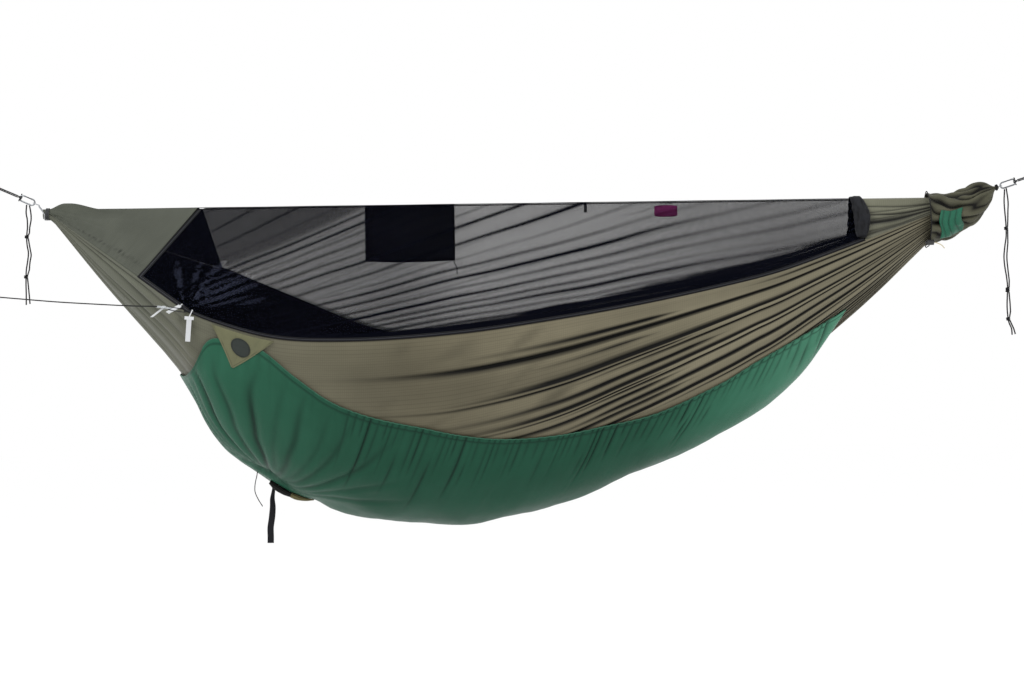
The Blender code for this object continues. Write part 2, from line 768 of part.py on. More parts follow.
def net_cuff(sides=10):
    """The net's bunched right end, lying over the seam from edge to edge."""
    middle = cuff_start + cuff_width / 2
    rings = []
    down_shares = (0.95, 0.7, 0.42, 0.18, 0)
    for side, t in [(-1, t) for t in down_shares] + [(1, t) for t in down_shares[::-1]]:
        rim, top = edge(side, middle), ridge_edge(side, middle)
        spot = top.lerp(rim, t)
        slope = (rim - top).normalized()
        out = Vector((0, -slope.z * side, slope.y * side)).normalized()
        if t == 0:
            out = (out + Vector((0, 0, 1))).normalized()
        rise = min(1, t * 2.2)
        height = cuff_height_at_ridge + (cuff_height - cuff_height_at_ridge) * rise
        rings.append([spot + out * (cuff_room + height * math.sin(math.pi * k / (sides - 1)))
                      + Vector((cuff_width / 2 * math.cos(math.pi * k / (sides - 1)), 0, 0))
                      for k in range(sides)])
    loft("net_cuff", rings, (30, 31, 34, 0.8))


# The ridge and what hangs on it

def ridge_tape():
    work = bmesh.new()
    end = cuff_start + cuff_width / 2
    low = place(-neck_length, -tape_width / 2, -tape_thickness / 2)
    high = place(end, tape_width / 2, tape_thickness / 2)
    block(work, low, high)
    mesh_from("ridge_tape", work, (44, 44, 47, 0.7), smooth=False)


def ridgeline():
    """Seated under the tape at both ends, a sleeve's room below it between."""
    start, end = -neck_length / 2, ridge_span + neck_length / 2
    knots = [(start, ridgeline_seat), (end_run * 3, ridgeline_seat), (end_run * 8, ridgeline_drop)]
    inner = [end_run * 8 + (ridge_span - end_run * 16) * k / 8 for k in range(1, 8)]
    knots += [(x, ridgeline_drop) for x in inner]
    knots += [(ridge_span - x, z) for x, z in reversed(knots[1:3])] + [(end, ridgeline_seat)]
    tube("ridgeline", [place(x, 0, -z) for x, z in knots], ridgeline_width, (30, 30, 32, 0.6))


def section_ring(outer, inner, start, end, name, look):
    """Extrude a closed outline in Y and Z, outer then inner reversed, along X."""
    work = bmesh.new()
    outline = outer + inner[::-1]
    face = work.faces.new([work.verts.new(place(start, y, z)) for y, z in outline])
    made = bmesh.ops.extrude_face_region(work, geom=[face])
    moved = [v for v in made["geom"] if isinstance(v, bmesh.types.BMVert)]
    bmesh.ops.translate(work, verts=moved, vec=(end - start, 0, 0))
    return mesh_from(name, work, look, smooth=False)


def ridge_pocket():
    """A cloth channel round the ridgeline that carries an open-topped pocket."""
    sleeve = ridgeline_width / 2 + sleeve_room
    skin = cloth
    back, front = sleeve, sleeve - pocket_room
    low = -ridgeline_drop - pocket_depth
    mouth = -ridgeline_drop - pocket_mouth_drop
    inner, outer = [], []
    for k in range(9):
        turn = math.radians(200 - 200 * k / 8)
        inner.append((sleeve * math.cos(turn), -ridgeline_drop + sleeve * math.sin(turn) - sleeve_room / 2))
        wide = sleeve + skin
        outer.append((wide * math.cos(turn), -ridgeline_drop + wide * math.sin(turn) - sleeve_room / 2))
    inner += [(back, low), (front, low), (front, mouth)]
    outer += [(back + skin, low - skin), (front - skin, low - skin), (front - skin, mouth)]
    end = pocket_start + pocket_width
    look = (26, 26, 33, 0.75)
    pocket = section_ring(outer, inner, pocket_start, end, "ridge_pocket", look)

    def side_walls(work):
        for x in (pocket_start, end - skin):
            block(work, place(x, front - skin / 2, low - skin / 2), place(x + skin, back + skin / 2, mouth))

    combine(pocket, "pocket_sides", side_walls, "UNION")
    set_origin(pocket, place(pocket_start + pocket_width / 2, 0, -ridgeline_drop))


def ridge_pouch():
    """A small stuffed pouch on a channel round the ridgeline."""
    hole = ridgeline_width / 2 + sleeve_room
    rings = []
    for share, size in pouch_shares:
        ring = []
        for k in range(16):
            turn = 2 * math.pi * k / 16
            y = pouch_thickness / 2 * size * math.cos(turn)
            z = pouch_height / 2 * size * math.sin(turn)
            ring.append(place(pouch_start + pouch_length * share, y,
                              z - ridgeline_drop - hole * 3 - pouch_height / 2))
        rings.append(ring)
    pouch = loft("ridge_pouch", rings, (92, 58, 84, 0.6))
    middle = place(pouch_start + pouch_length / 2, 0, -ridgeline_drop)
    lie = Matrix.Translation(middle) @ Matrix.Rotation(math.pi / 2, 4, "Y")

    combine(pouch, "pouch_channel",
            lambda work: rod(work, hole + cloth, pouch_length * 0.3, lie), "UNION")
    combine(pouch, "pouch_web", lambda work: block(
        work, middle + Vector((-pouch_length * 0.14, -cloth, -hole * 5)),
        middle + Vector((pouch_length * 0.14, cloth, -hole - cloth / 2))), "UNION")
    combine(pouch, "pouch_bore", lambda work: rod(work, hole, pouch_length, lie), "DIFFERENCE")
    set_origin(pouch, middle)


def ridge_toggle():
    """A small barrel hung on the ridgeline by its own eye."""
    hole = ridgeline_width / 2 + sleeve_room
    middle = place(toggle_place, 0, -ridgeline_drop)
    lie = Matrix.Translation(middle) @ Matrix.Rotation(math.pi / 2, 4, "Y")
    hang = Matrix.Translation(middle + Vector((0, 0, -hole - toggle_length / 2)))
    work = bmesh.new()
    rod(work, toggle_width / 2, toggle_length, hang)
    toggle = mesh_from("ridge_toggle", work, (40, 40, 44, 0.5))
    combine(toggle, "toggle_eye", lambda w: rod(w, hole + tape_thickness, toggle_width * 0.6, lie), "UNION")
    combine(toggle, "toggle_bore", lambda w: rod(w, hole, toggle_length, lie), "DIFFERENCE")


# Zip sliders and their pulls

def slider_frame(first, along):
    """A slider's place: X along the tape, Y across it to the ridge, Z out of the net."""
    path = zip_path(-1)
    mitres, faces = path_frames(path)
    a, b = path[first], path[first + 1]
    run = (b - a).normalized()
    share = along / (b - a).length
    face = faces[first].lerp(faces[first + 1], share)
    face = (face - run * face.dot(run)).normalized()
    across = face.cross(run).normalized()
    middle = seam_gap + zip_tape_width + chain_gap / 2
    spot = a.lerp(b, share) + mitres[first].lerp(mitres[first + 1], share) * middle
    if face.z < 0:
        face = -face
    return Matrix.Translation(spot) @ Matrix((run, across, face)).transposed().to_4x4()


def zip_slider(name, frame, look=(34, 34, 38, 0.4, 0.6)):
    gap = zip_tape_thickness / 2 + slider_clearance
    half_long, half_wide = slider_length / 2, slider_width / 2
    post = chain_gap / 2 - slider_clearance
    rise = gap + slider_plate
    half_bail = bail_width / 2
    work = bmesh.new()
    block(work, (-half_long, -half_wide, gap), (half_long, half_wide, rise), frame)
    slider = mesh_from(name, work, look, smooth=False)
    combine(slider, name + "_under", lambda w: block(
        w, (-half_long, -half_wide, -rise), (half_long, half_wide, -gap), frame), "UNION")
    combine(slider, name + "_post", lambda w: block(
        w, (-half_long * 0.7, -post, -gap - slider_plate / 2),
        (half_long * 0.7, post, gap + slider_plate / 2), frame), "UNION")

    def bail(w):
        for side in (-1, 1):
            block(w, (side * half_bail - bail_rod / 2, -bail_rod / 2, rise - slider_plate / 2),
                  (side * half_bail + bail_rod / 2, bail_rod / 2, rise + bail_height), frame)

    combine(slider, name + "_bail_sides", bail, "UNION")
    combine(slider, name + "_bail_bar", lambda w: block(
        w, (-half_bail, -bail_rod / 2, rise + bail_height - bail_rod),
        (half_bail, bail_rod / 2, rise + bail_height), frame), "UNION")
    set_origin(slider, frame.translation.copy())


def blank_tag(name, lie, bore, eye_half, neck, length, fall=None, head=False):
    """A blank webbing tag with an eye about lie's Y. It points along X, or bends to fall."""
    half = pull_thickness / 2
    start = bore + pull_thickness + neck
    tag_lie = lie @ Matrix.Translation((start, 0, 0))
    if fall:
        down = fall.normalized()
        level = Vector((0, -1, 0)).cross(down).normalized()
        tag_lie = Matrix((down, level, down.cross(level))).transposed().to_4x4()
        tag_lie = Matrix.Translation(lie @ Vector((start, 0, 0))) @ tag_lie
    work = bmesh.new()
    block(work, (-half, -pull_width / 2, -half), (length, pull_width / 2, half), tag_lie)
    tag = mesh_from(name, work, (232, 233, 230, 0.45), smooth=False)
    spin = lie @ Matrix.Rotation(math.pi / 2, 4, "X")
    combine(tag, name + "_eye", lambda w: rod(w, bore + pull_thickness, eye_half * 2, spin, 20), "UNION")
    combine(tag, name + "_neck", lambda w: block(
        w, (bore + pull_thickness / 2, -eye_half, -half), (start + half, eye_half, half), lie), "UNION")
    if head:
        combine(tag, name + "_head", lambda w: block(
            w, (-half * 1.5, -pull_head_width / 2, -half * 1.5),
            (pull_width * 0.6, pull_head_width / 2, half * 1.5), tag_lie), "UNION")
    combine(tag, name + "_bore", lambda w: rod(w, bore, eye_half * 3, spin, 20), "DIFFERENCE")
    pivot = lie.translation.copy()
    set_origin(tag, pivot)
    print(name, "pivot", [round(c, 5) for c in pivot],
          "axis", [round(c, 5) for c in lie.to_3x3() @ Vector((0, 1, 0))])


def zip_pull(name, frame, neck, length, lean, fall, head):
    """A pull on the slider's bail. Lean 0 points out across the lower tape."""
    bar = zip_tape_thickness / 2 + slider_clearance + slider_plate + bail_height - bail_rod / 2
    run, across, face = frame.to_3x3().transposed()
    point = -across * math.cos(lean) - face * math.sin(lean)
    lie = Matrix.Translation(frame @ Vector((0, 0, bar)))
    lie = lie @ Matrix((point, run, point.cross(run))).transposed().to_4x4()
    blank_tag(name, lie, bail_rod * 0.71 + slider_clearance,
              (bail_width - bail_rod) / 2 - slider_clearance, neck, length, fall, head)


def zip_hardware():
    path = zip_path(-1)
    places = (("1", 2, (path[3] - path[2]).length - slider_from_corner,
               pull_neck, pull_length, 5, None, False),
              ("2", 5, slider_length * 0.7, long_pull_neck, long_pull_length, 20,
               Vector((-0.08, 0, -1)), True))
    for number, first, along, neck, length, lean, fall, head in places:
        frame = slider_frame(first, along)
        zip_slider("zip_slider_" + number, frame)
        zip_pull("zip_pull_" + number, frame, neck, length, math.radians(lean), fall, head)
        print("zip_slider_" + number, [round(c, 5) for c in frame.translation], "run",
              [round(c, 5) for c in frame.to_3x3() @ Vector((1, 0, 0))])


# Suspension: everything between a gather and its hang eye

def carabiner_ring(frame):
    """The bar's middle line, from the nose round both ends to the hinge."""
    turn = (carabiner_width - carabiner_rod) / 2
    flat = (carabiner_length - carabiner_width) / 2
    half_gate = gate_length / 2
    points = [(half_gate + gate_end_gap, turn), (flat, turn)]
    steps = 8
    for k in range(1, steps + 1):
        a = math.pi / 2 - math.pi * k / steps
        points.append((flat + turn * math.cos(a), turn * math.sin(a)))
    points.append((0, -turn))
    for k in range(steps + 1):
        a = -math.pi / 2 - math.pi * k / steps
        points.append((-flat + turn * math.cos(a), turn * math.sin(a)))
    points.append((-half_gate, turn))
    return [frame @ Vector((x, 0, z)) for x, z in points]


def carabiner(side, frame):
    """Body, gate and pin, lying in the frame's X and Z with the gate on top."""
    look = (172, 175, 178, 0.32, 0.9)
    turn = (carabiner_width - carabiner_rod) / 2
    half_gate = gate_length / 2
    hinge = frame @ Vector((-half_gate, 0, turn))
    flat_turn = Matrix.Rotation(math.pi / 2, 4, "X")
    across = Matrix.Translation(hinge) @ frame.to_3x3().to_4x4() @ flat_turn
    tongue = gate_rod * 0.28
    outside = tongue + seam_gap + knuckle_cheek

    points = carabiner_ring(frame)
    rings = []
    for k, point in enumerate(points):
        run = (points[min(k + 1, len(points) - 1)] - points[max(k - 1, 0)]).normalized()
        level = frame.to_3x3() @ Vector((0, 1, 0))
        rise = run.cross(level).normalized()
        rings.append([point + (level * math.cos(a) + rise * math.sin(a)) * (carabiner_rod / 2)
                      for a in [2 * math.pi * n / 8 for n in range(8)]])
    name = side + "_carabiner_body"
    body = loft(name, rings, look)
    combine(body, name + "_knuckle",
            lambda w: rod(w, knuckle_radius, outside * 2, across, 20), "UNION")
    slot = knuckle_radius * 0.86 + seam_gap * 1.5
    slot_half = tongue + seam_gap
    bore = pin_radius + pin_clearance
    local = Matrix.Translation(hinge) @ frame.to_3x3().to_4x4()
    combine(body, name + "_slot", lambda w: block(
        w, (-slot, -slot_half, -slot * 2), (slot * 2, slot_half, slot * 2), local), "DIFFERENCE")
    combine(body, name + "_bore",
            lambda w: rod(w, bore, outside * 3, across, 20), "DIFFERENCE")

    name = side + "_carabiner_gate"
    start, end = knuckle_radius * 0.6, gate_length
    work = bmesh.new()
    rod(work, gate_rod / 2, end - start,
        local @ Matrix.Translation(((start + end) / 2, 0, 0)) @ Matrix.Rotation(math.pi / 2, 4, "Y"), 12)
    gate = mesh_from(name, work, (120, 123, 126, 0.35, 0.9))
    combine(gate, name + "_eye",
            lambda w: rod(w, knuckle_radius * 0.86, tongue * 2, across, 20), "UNION")

    def trim(w):
        reach = knuckle_radius * 2.4
        for way in (-1, 1):
            low, high = sorted((way * tongue, way * tongue * 3))
            block(w, (-reach, low, -reach), (reach, high, reach), local)

    combine(gate, name + "_cheeks", trim, "DIFFERENCE")
    combine(gate, name + "_bore",
            lambda w: rod(w, bore, outside * 3, across, 20), "DIFFERENCE")
    set_origin(gate, hinge)

    work = bmesh.new()
    rod(work, pin_radius, outside * 2, across, 16)
    mesh_from(side + "_carabiner_pin", work, (150, 152, 155, 0.3, 0.9))
    print(side, "gate hinge", [round(c, 5) for c in hinge],
          "axis", [round(c, 5) for c in (frame.to_3x3() @ Vector((0, 1, 0)))])


def coil(name, centre_line, turns, radius, width, look, steps=12):
    """A cord wound round a short line of (point, axis, start direction)."""
    points = []
    count = round(turns * steps)
    for k in range(count + 1):
        t = k / count
        spot, axis, start = centre_line(t)
        a = 2 * math.pi * turns * t
        points.append(spot + (start * math.cos(a) + axis.cross(start) * math.sin(a)) * radius)
    pitch = [(points[k + steps] - points[k]).length for k in range(count - steps + 1)]
    print(name, "least gap between turns, mm", round((min(pitch) - width) * 1000, 2))
    tube(name, points, width, look, resolution=1)


def gather_binding(side, x, way, turns):
    radius = gather_radius + cloth + binding_cord / 2 + binding_room
    middle = place(x, 0, -gather_radius * 1.08) + Vector((way * neck_length * binding_place_share, 0, 0))

    def line(t):
        spot = middle + Vector((way * binding_pitch * turns * (t - 0.5), 0, 0))
        return spot, Vector((1, 0, 0)), Vector((0, 0, -1))

    coil(side + "_gather_binding", line, turns, radius, binding_cord, (60, 62, 64, 0.7))


def suspension(side, gather_x, reach, rise, way, loop_reach, eye_end, turns):
    """Loop, carabiner, hitch and sling on the line from a gather to its hang eye."""
    gather = place(gather_x, 0, 0)
    along = Vector((way * reach, 0, rise)).normalized()
    up = Vector((-along.z * way, 0, along.x * way))
    level = up.cross(along)
    frame3 = Matrix((along, level, up)).transposed()

    def spot(u, y, w):
        return gather + along * u + Vector((0, y, 0)) + up * w

    # Carabiner
    middle = loop_reach + carabiner_length / 2 - carabiner_rod - loop_width - strand_gap
    carabiner(side, Matrix.Translation(spot(middle, 0, 0)) @ frame3.to_4x4())

    # Loop: round the carabiner's inner end bar and round the gathered neck
    bar = middle - carabiner_length / 2 + carabiner_rod / 2
    hug = carabiner_rod / 2 + strand_gap + loop_width / 2
    neck = gather_radius + cloth + loop_width / 2 + binding_room
    loop_seat = neck_length * binding_place_share + (binding_pitch * turns + binding_cord + loop_width) / 2
    loop_seat += strand_gap
    pinch = loop_width / 2 + strand_gap * 1.5
    knots = [spot(bar + hug * math.cos(a), hug * math.sin(a), 0)
             for a in [math.pi * k / 6 - math.pi / 2 for k in range(7)]]
    side_run = [(bar - carabiner_rod * 1.9, pinch, 0), (bar - carabiner_rod * 3.2, pinch, 0),
                ((bar + loop_seat) * 0.5, neck * 0.45, -neck * 0.25)]
    knots += [spot(*point) for point in side_run]
    low = Vector((gather.x + way * loop_seat, 0, gather.z - gather_radius * 1.08))
    for k in range(9):
        a = math.pi * k / 8
        knots.append(low + Vector((0, neck * math.cos(a), -neck * math.sin(a))))
    knots += [spot(u, -y, w) for u, y, w in reversed(side_run)]
    tube(side + "_loop", knots, loop_width, (150, 152, 156, 0.6), closed=True)

    # Hitch of the sling on the outer end bar
    turn = (carabiner_width - carabiner_rod) / 2
    flat = (carabiner_length - carabiner_width) / 2
    wind = carabiner_rod / 2 + strand_gap + sling_width / 2

    def bend(t):
        a = math.radians(55) * (1 - 2 * t)
        out = along * math.cos(a) + up * math.sin(a)
        axis = (-along * math.sin(a) + up * math.cos(a)) * -1
        return spot(middle + flat, 0, 0) + out * turn, axis, out

    coil(side + "_hitch", bend, 2, wind, sling_width, (22, 22, 24, 0.6))

    # Sling: two strands from the hitch, joined round the hang eye
    start = middle + flat + turn + wind + sling_width / 2 + strand_gap
    half = sling_width / 2 + strand_gap / 2
    knots = [spot(start, 0, -half), spot(start + (eye_end - start) * 0.3, 0, -half),
             spot(eye_end - sling_eye * 2.0, 0, -half)]
    for k in range(7):
        a = math.radians(-120 + 240 * k / 6)
        knots.append(spot(eye_end - sling_eye / 2 + sling_eye / 2 * math.cos(a), 0,
                          sling_eye * 0.4 * math.sin(a)))
    knots += [spot(eye_end - sling_eye * 2.0, 0, half), spot(start + (eye_end - start) * 0.3, 0, half),
              spot(start, 0, half)]
    tube(side + "_sling", smooth_route(knots, sling_width * 3), sling_width, (22, 22, 24, 0.6))
    print(side, "sling route", [tuple(round(c, 4) for c in p) for p in knots])


def tail(side, plain_route, stretches, knots_at):
    """Two hanging strands: one plain, one that winds round it for each knot."""
    plain = smooth_route(plain_route, tail_width * 3)
    tube(side + "_tail_front", plain, tail_width, (24, 24, 26, 0.65))
    wind = tail_width + strand_gap
    points = []
    for n, stretch in enumerate(stretches):
        points += smooth_route(stretch, tail_width * 3)
        if n < len(knots_at):
            top, turns = knots_at[n]
            drop = (tail_width + strand_gap) * turns
            count = turns * 9
            for k in range(count + 1):
                core = level_point(plain, top - drop * k / count)
                a = 2 * math.pi * turns * k / count
                points.append(core + Vector((wind * math.cos(a), wind * math.sin(a), 0)))
    tube(side + "_tail_back", points, tail_width, (24, 24, 26, 0.65), 1)


def level_point(points, z):
    """Where a falling route passes a height."""
    for a, b in zip(points, points[1:]):
        if (a.z - z) * (b.z - z) <= 0 and a.z != b.z:
            return a.lerp(b, (a.z - z) / (a.z - b.z))
    return points[-1].copy()


def tails():
    tail("left", left_tail_front_route,
         [left_tail_back_route, left_tail_between, left_tail_end],
         [(-0.1800, 2), (-0.3000, 2)])
    tail("right", right_tail_front_route,
         [right_tail_back_route, right_tail_between, right_tail_lower, right_tail_end],
         [(-0.1960, 2), (-0.3780, 3), (-0.4680, 2)])


# Storage sack at the right gather

def sack_point(row, turn, extra=0.0):
    along, height, radius = [share * sack_size for share in row]
    lump = 1 + 0.040 * math.sin(3 * turn + row[0] * 4) + 0.025 * math.sin(7 * turn - row[0] * 6)
    if radius < sack_size * 0.2:
        lump = 1
    size = radius * lump + extra
    lean = math.atan2(right_rise, right_reach) * min(1, max(0, (row[0] + 0.6) / 1.2))
    out = Vector((-math.sin(lean) * math.cos(turn), math.sin(turn), math.cos(lean) * math.cos(turn)))
    return place(ridge_span + along, 0, height) + out * size


def storage_sack(sides=18):
    grid = [[sack_point(row, 2 * math.pi * k / sides) for k in range(sides)] for row in sack_shares]
    sheet("storage_sack", grid, -sack_cloth / 2, sack_cloth / 2, (111, 112, 96, 0.6), wrap=True)


def sack_cords():
    row = sack_shares[-1]
    radius = row[2] * sack_size + sack_cloth / 2 + seam_gap * 2 + neck_cord / 2
    lean = math.atan2(right_rise, right_reach)
    axis = Vector((math.cos(lean), 0, math.sin(lean)))
    before = sack_shares[-2]
    spot = place(ridge_span + (row[0] + before[0]) / 2 * sack_size, 0,
                 (row[1] + before[1]) / 2 * sack_size)

    def neck(t):
        centre = spot + axis * ((neck_cord + strand_gap * 1.5) * 2 * (t - 0.5))
        return centre, axis, Vector((0, -1, 0))

    coil("sack_neck_cord", neck, 2, radius, neck_cord, (24, 24, 26, 0.65))
    steps = 30
    points = []
    for k in range(steps):
        turn = 2 * math.pi * k / steps
        points.append(sack_point(sack_shares[0], turn, sack_cloth / 2 + seam_gap * 3 + mouth_cord / 2))
    tube("sack_mouth_cord", points, mouth_cord, (30, 30, 32, 0.65), 1, closed=True)


def cord_lock():
    """A barrel lock on the sack's mouth, below its front, with a sprung plunger."""
    turn = math.radians(222)
    spot = sack_point(sack_shares[0], turn, sack_cloth / 2 + seam_gap * 4 + mouth_cord)
    normal = Vector((0, math.sin(turn), math.cos(turn)))
    along = Vector((1, 0, 0))
    side = normal.cross(along)
    turned = Matrix((side, along, normal)).transposed().to_4x4()
    frame = Matrix.Translation(spot + normal * (lock_thickness / 2)) @ turned
    work = bmesh.new()
    half = lock_length / 2
    block(work, (-lock_width / 2, -half, -lock_thickness / 2),
          (lock_width / 2, half, lock_thickness / 2), frame)
    bmesh.ops.bevel(work, geom=work.edges[:], offset=lock_thickness * 0.2, segments=2, profile=0.5,
                    affect="EDGES", material=-1)
    lock = mesh_from("cord_lock_body", work, (28, 28, 30, 0.45))
    lie = frame @ Matrix.Translation((0, -half, 0)) @ Matrix.Rotation(math.pi / 2, 4, "X")
    deep = plunger_length * 1.5
    combine(lock, "lock_bore", lambda w: rod(
        w, lock_thickness * 0.33, deep * 2, lie, 20), "DIFFERENCE")
    work = bmesh.new()
    shift = frame @ Matrix.Translation((0, -half - plunger_travel_room + plunger_length / 2, 0))
    rod(work, lock_thickness * 0.33 - seam_gap, plunger_length,
        shift @ Matrix.Rotation(math.pi / 2, 4, "X"), 20)
    plunger = mesh_from("cord_lock_plunger", work, (36, 36, 38, 0.45))
    set_origin(plunger, shift.translation.copy())
    print("plunger axis", [round(c, 4) for c in (frame.to_3x3() @ Vector((0, 1, 0)))])
    end = frame @ Vector((0, half + seam_gap * 2, 0))
    knots = [end] + [end + Vector(step) for step in cord_end_steps]
    tube("sack_cord_end", smooth_route(knots, mouth_cord * 2), mouth_cord, (196, 184, 150, 0.7))


def sack_lining():
    """The cover's own stow cloth, a green fold that shows on the sack's front."""
    grid = []
    for i in range(7):
        row_line = []
        for j in range(8):
            along = -0.72 + 0.34 * i / 6 + 0.05 * math.sin(j)
            turn = math.radians(232 + 46 * j / 7)
            centre = spline_row(sack_shares, along)
            row = (along, centre[0], centre[1])
            bulge = lining_seat + lining_bulge * math.sin(math.pi * i / 6) * math.sin(math.pi * j / 7)
            row_line.append(sack_point(row, turn, bulge))
        grid.append(row_line)
    sheet("sack_lining_fold", grid, -sack_cloth / 2, sack_cloth / 2, (58, 104, 84, 0.5))


# Corner patch, closure and tie-out

def cover_row(share, w):
    """The cover row that crosses w at a place along the ridge."""
    low, high = 0, 1
    for _ in range(24):
        middle = (low + high) / 2
        if cover_share(middle, w) < share:
            low = middle
        else:
            high = middle
    return low


def cover_outside(share, v, lift):
    """A point above the cover's outside, or above its hem line where the cover has ended."""
    s, w = cover_row(share, 1), 1
    for _ in range(8):
        w = min(1, abs(v) / spline_row(hem_shares, cover_share(s, 1))[0])
        s = cover_row(share, w)
    x = share * ridge_span
    return wrap_point(x, v) + wrap_normal(x, v) * (cover_offset(s, w)[0] + quilted + lift)


def corner_patch():
    """A triangle sewn over the cover's front corner, with a plain round patch on it."""
    tips = patch_tip_shares
    rows, grid = 5, []
    for i in range(rows + 1):
        t = 0.06 + 0.94 * i / rows
        line = []
        for j in range(rows + 1):
            u = j / rows
            share = tips[2][0] + t * ((1 - u) * tips[0][0] + u * tips[1][0] - tips[2][0])
            v = tips[2][1] + t * ((1 - u) * tips[0][1] + u * tips[1][1] - tips[2][1])
            line.append(cover_outside(share, v, patch_room))
        grid.append(line)
    sheet("corner_patch", grid, -patch_thickness / 2, patch_thickness / 2, (92, 94, 72, 0.65))
    lift = patch_room + patch_thickness + seam_gap * 4
    share, v = round_patch_shares
    middle = cover_outside(share, v, lift)
    step = 0.01
    share_scale = step / (cover_outside(share + step, v, lift) - middle).length
    v_scale = step / (cover_outside(share, v + step, lift) - middle).length
    grid = []
    for i in range(7):
        line = []
        for j in range(7):
            a, b = i / 3 - 1, j / 3 - 1
            round_a, round_b = a * math.sqrt(1 - b * b / 2), b * math.sqrt(1 - a * a / 2)
            line.append(cover_outside(share + round_a * round_patch_radius * share_scale,
                                      v + round_b * round_patch_radius * v_scale, lift))
        grid.append(line)
    sheet("round_patch", grid, -patch_thickness / 2, patch_thickness / 2, (45, 50, 47, 0.6))


def closure_point(along, lift):
    w = -closure_side_share * 2
    s = cover_row(along / ridge_span, w)
    point = cover_flat(s, w)
    step = 0.01
    across = cover_flat(s, w + step) - cover_flat(s, w - step)
    run = cover_flat(s + step, w) - cover_flat(s - step, w)
    out = across.cross(run).normalized()
    return point + out * lift, out, across.normalized()


def closure():
    """The drawn mouth at the cover's lowest end: a bunched sleeve and its tip."""
    tip_start = closure_start + closure_length + closure_tip_gap
    pieces = (("closure_sleeve", closure_start, closure_length, (30, 30, 30, 0.75),
               (0.62, 0.95, 1.0, 0.94, 0.78)),
              ("closure_tip", tip_start, closure_tip_length,
               (104, 100, 66, 0.65), (0.80, 0.86, 0.70, 0.46, 0.16)))
    for name, start, length, look, sizes in pieces:
        rings = []
        for k, size in enumerate(sizes):
            half = closure_thick / 2 * size
            along = start + length * k / (len(sizes) - 1)
            spot, out, across = closure_point(along, half * 0.7 + closure_seat)
            rings.append([spot + across * (half * math.cos(a)) + out * (half * 0.7 * math.sin(a))
                          for a in [2 * math.pi * n / 14 for n in range(14)]])
        loft(name, rings, look)


def compression_strap():
    """A short webbing strap, edge on at its top and turned to the front below."""
    points = smooth_route(strap_route, strap_width * 0.6)
    rings = []
    for k, point in enumerate(points):
        turn = math.radians(80) * (1 - min(1, 1.6 * k / (len(points) - 1)))
        wide = Vector((math.cos(turn), math.sin(turn), 0)) * (strap_width / 2)
        thick = Vector((-math.sin(turn), math.cos(turn), 0)) * (strap_thickness / 2)
        rings.append([point - wide - thick, point + wide - thick,
                      point + wide + thick, point - wide + thick])
    loft("compression_strap", rings, (22, 22, 24, 0.75))


def tie_out():
    """Webbing loop at the front corner, hook and line."""
    corner = edge(-1, tie_share * ridge_span)
    line_route = [corner + Vector(step) for step in tieout_line_steps]
    away = (line_route[0] - corner).normalized()
    up = Vector((0, 0, 1))
    level = up.cross(away).normalized()
    up = away.cross(level).normalized()
    frame = Matrix.Translation(corner) @ Matrix((away, level, up)).transposed().to_4x4()

    # Webbing loop: a closed flat band from the corner to the hook
    reach = (line_route[0] - corner).length - hook_length
    bend = hook_thickness / 2 + loop_room + loop_thickness / 2
    near, far = corner_room + bend, reach + hook_rod / 2
    rings = []
    for middle, begin in ((far, -90), (near, 90)):
        for k in range(7):
            a = math.radians(begin + 180 * k / 6)
            base = Vector((middle + bend * math.cos(a), 0, bend * math.sin(a)))
            out = Vector((math.cos(a), 0, math.sin(a)))
            rings.append([frame @ (base + Vector((0, y * loop_webbing / 2, 0)) + out * t * loop_thickness)
                          for y, t in ((-1, -0.5), (1, -0.5), (1, 0.5), (-1, 0.5))])
    loft("tieout_loop", rings, (28, 28, 30, 0.75), hollow=True)

    # Hook: a flat plate with a slot at each end
    end = reach + hook_length - seam_gap * 2
    work = bmesh.new()
    block(work, (reach, -hook_width / 2, -hook_thickness / 2),
          (end, hook_width / 2, hook_thickness / 2), frame)
    bmesh.ops.bevel(work, geom=work.edges[:], offset=hook_thickness * 0.25, segments=2, profile=0.5,
                    affect="EDGES", material=-1)
    hook = mesh_from("tieout_hook", work, (205, 208, 210, 0.2))
    wide = loop_webbing / 2 + seam_gap * 2
    bar_start, bar_end = reach + hook_length * 0.46, reach + hook_length * 0.55

    def slots(w):
        block(w, (reach + hook_rod, -wide, -hook_thickness), (bar_start, wide, hook_thickness), frame)
        block(w, (bar_end, -wide, -hook_thickness), (end - hook_rod, wide, hook_thickness), frame)

    combine(hook, "hook_slots", slots, "DIFFERENCE")
    tube("tieout_line", smooth_route(line_route, tieout_line_width * 6), tieout_line_width,
         (26, 26, 28, 0.65))

    # Blank tag on the hook's middle bar
    pivot = frame @ Vector(((bar_start + bar_end) / 2, 0, 0))
    hinge = frame.to_3x3() @ Vector((0, 1, 0))
    hang = math.radians(tag_hang)
    point = frame.to_3x3() @ Vector((math.cos(hang), 0, -math.sin(hang)))
    lie = Matrix.Translation(pivot) @ Matrix((point, hinge, point.cross(hinge))).transposed().to_4x4()
    bore = math.hypot(hook_thickness, bar_end - bar_start) / 2 + loop_room / 2
    blank_tag("tieout_tag", lie, bore, loop_webbing / 2, tag_neck, tag_length)


def loose_cords():
    tube("pocket_cord", smooth_route(pocket_cord_route, drawcord_width * 2),
         drawcord_width, (24, 24, 28, 0.65))
    tube("underlayer_drawcord", smooth_route(drawcord_route, drawcord_width * 3),
         drawcord_width, (28, 40, 36, 0.65))


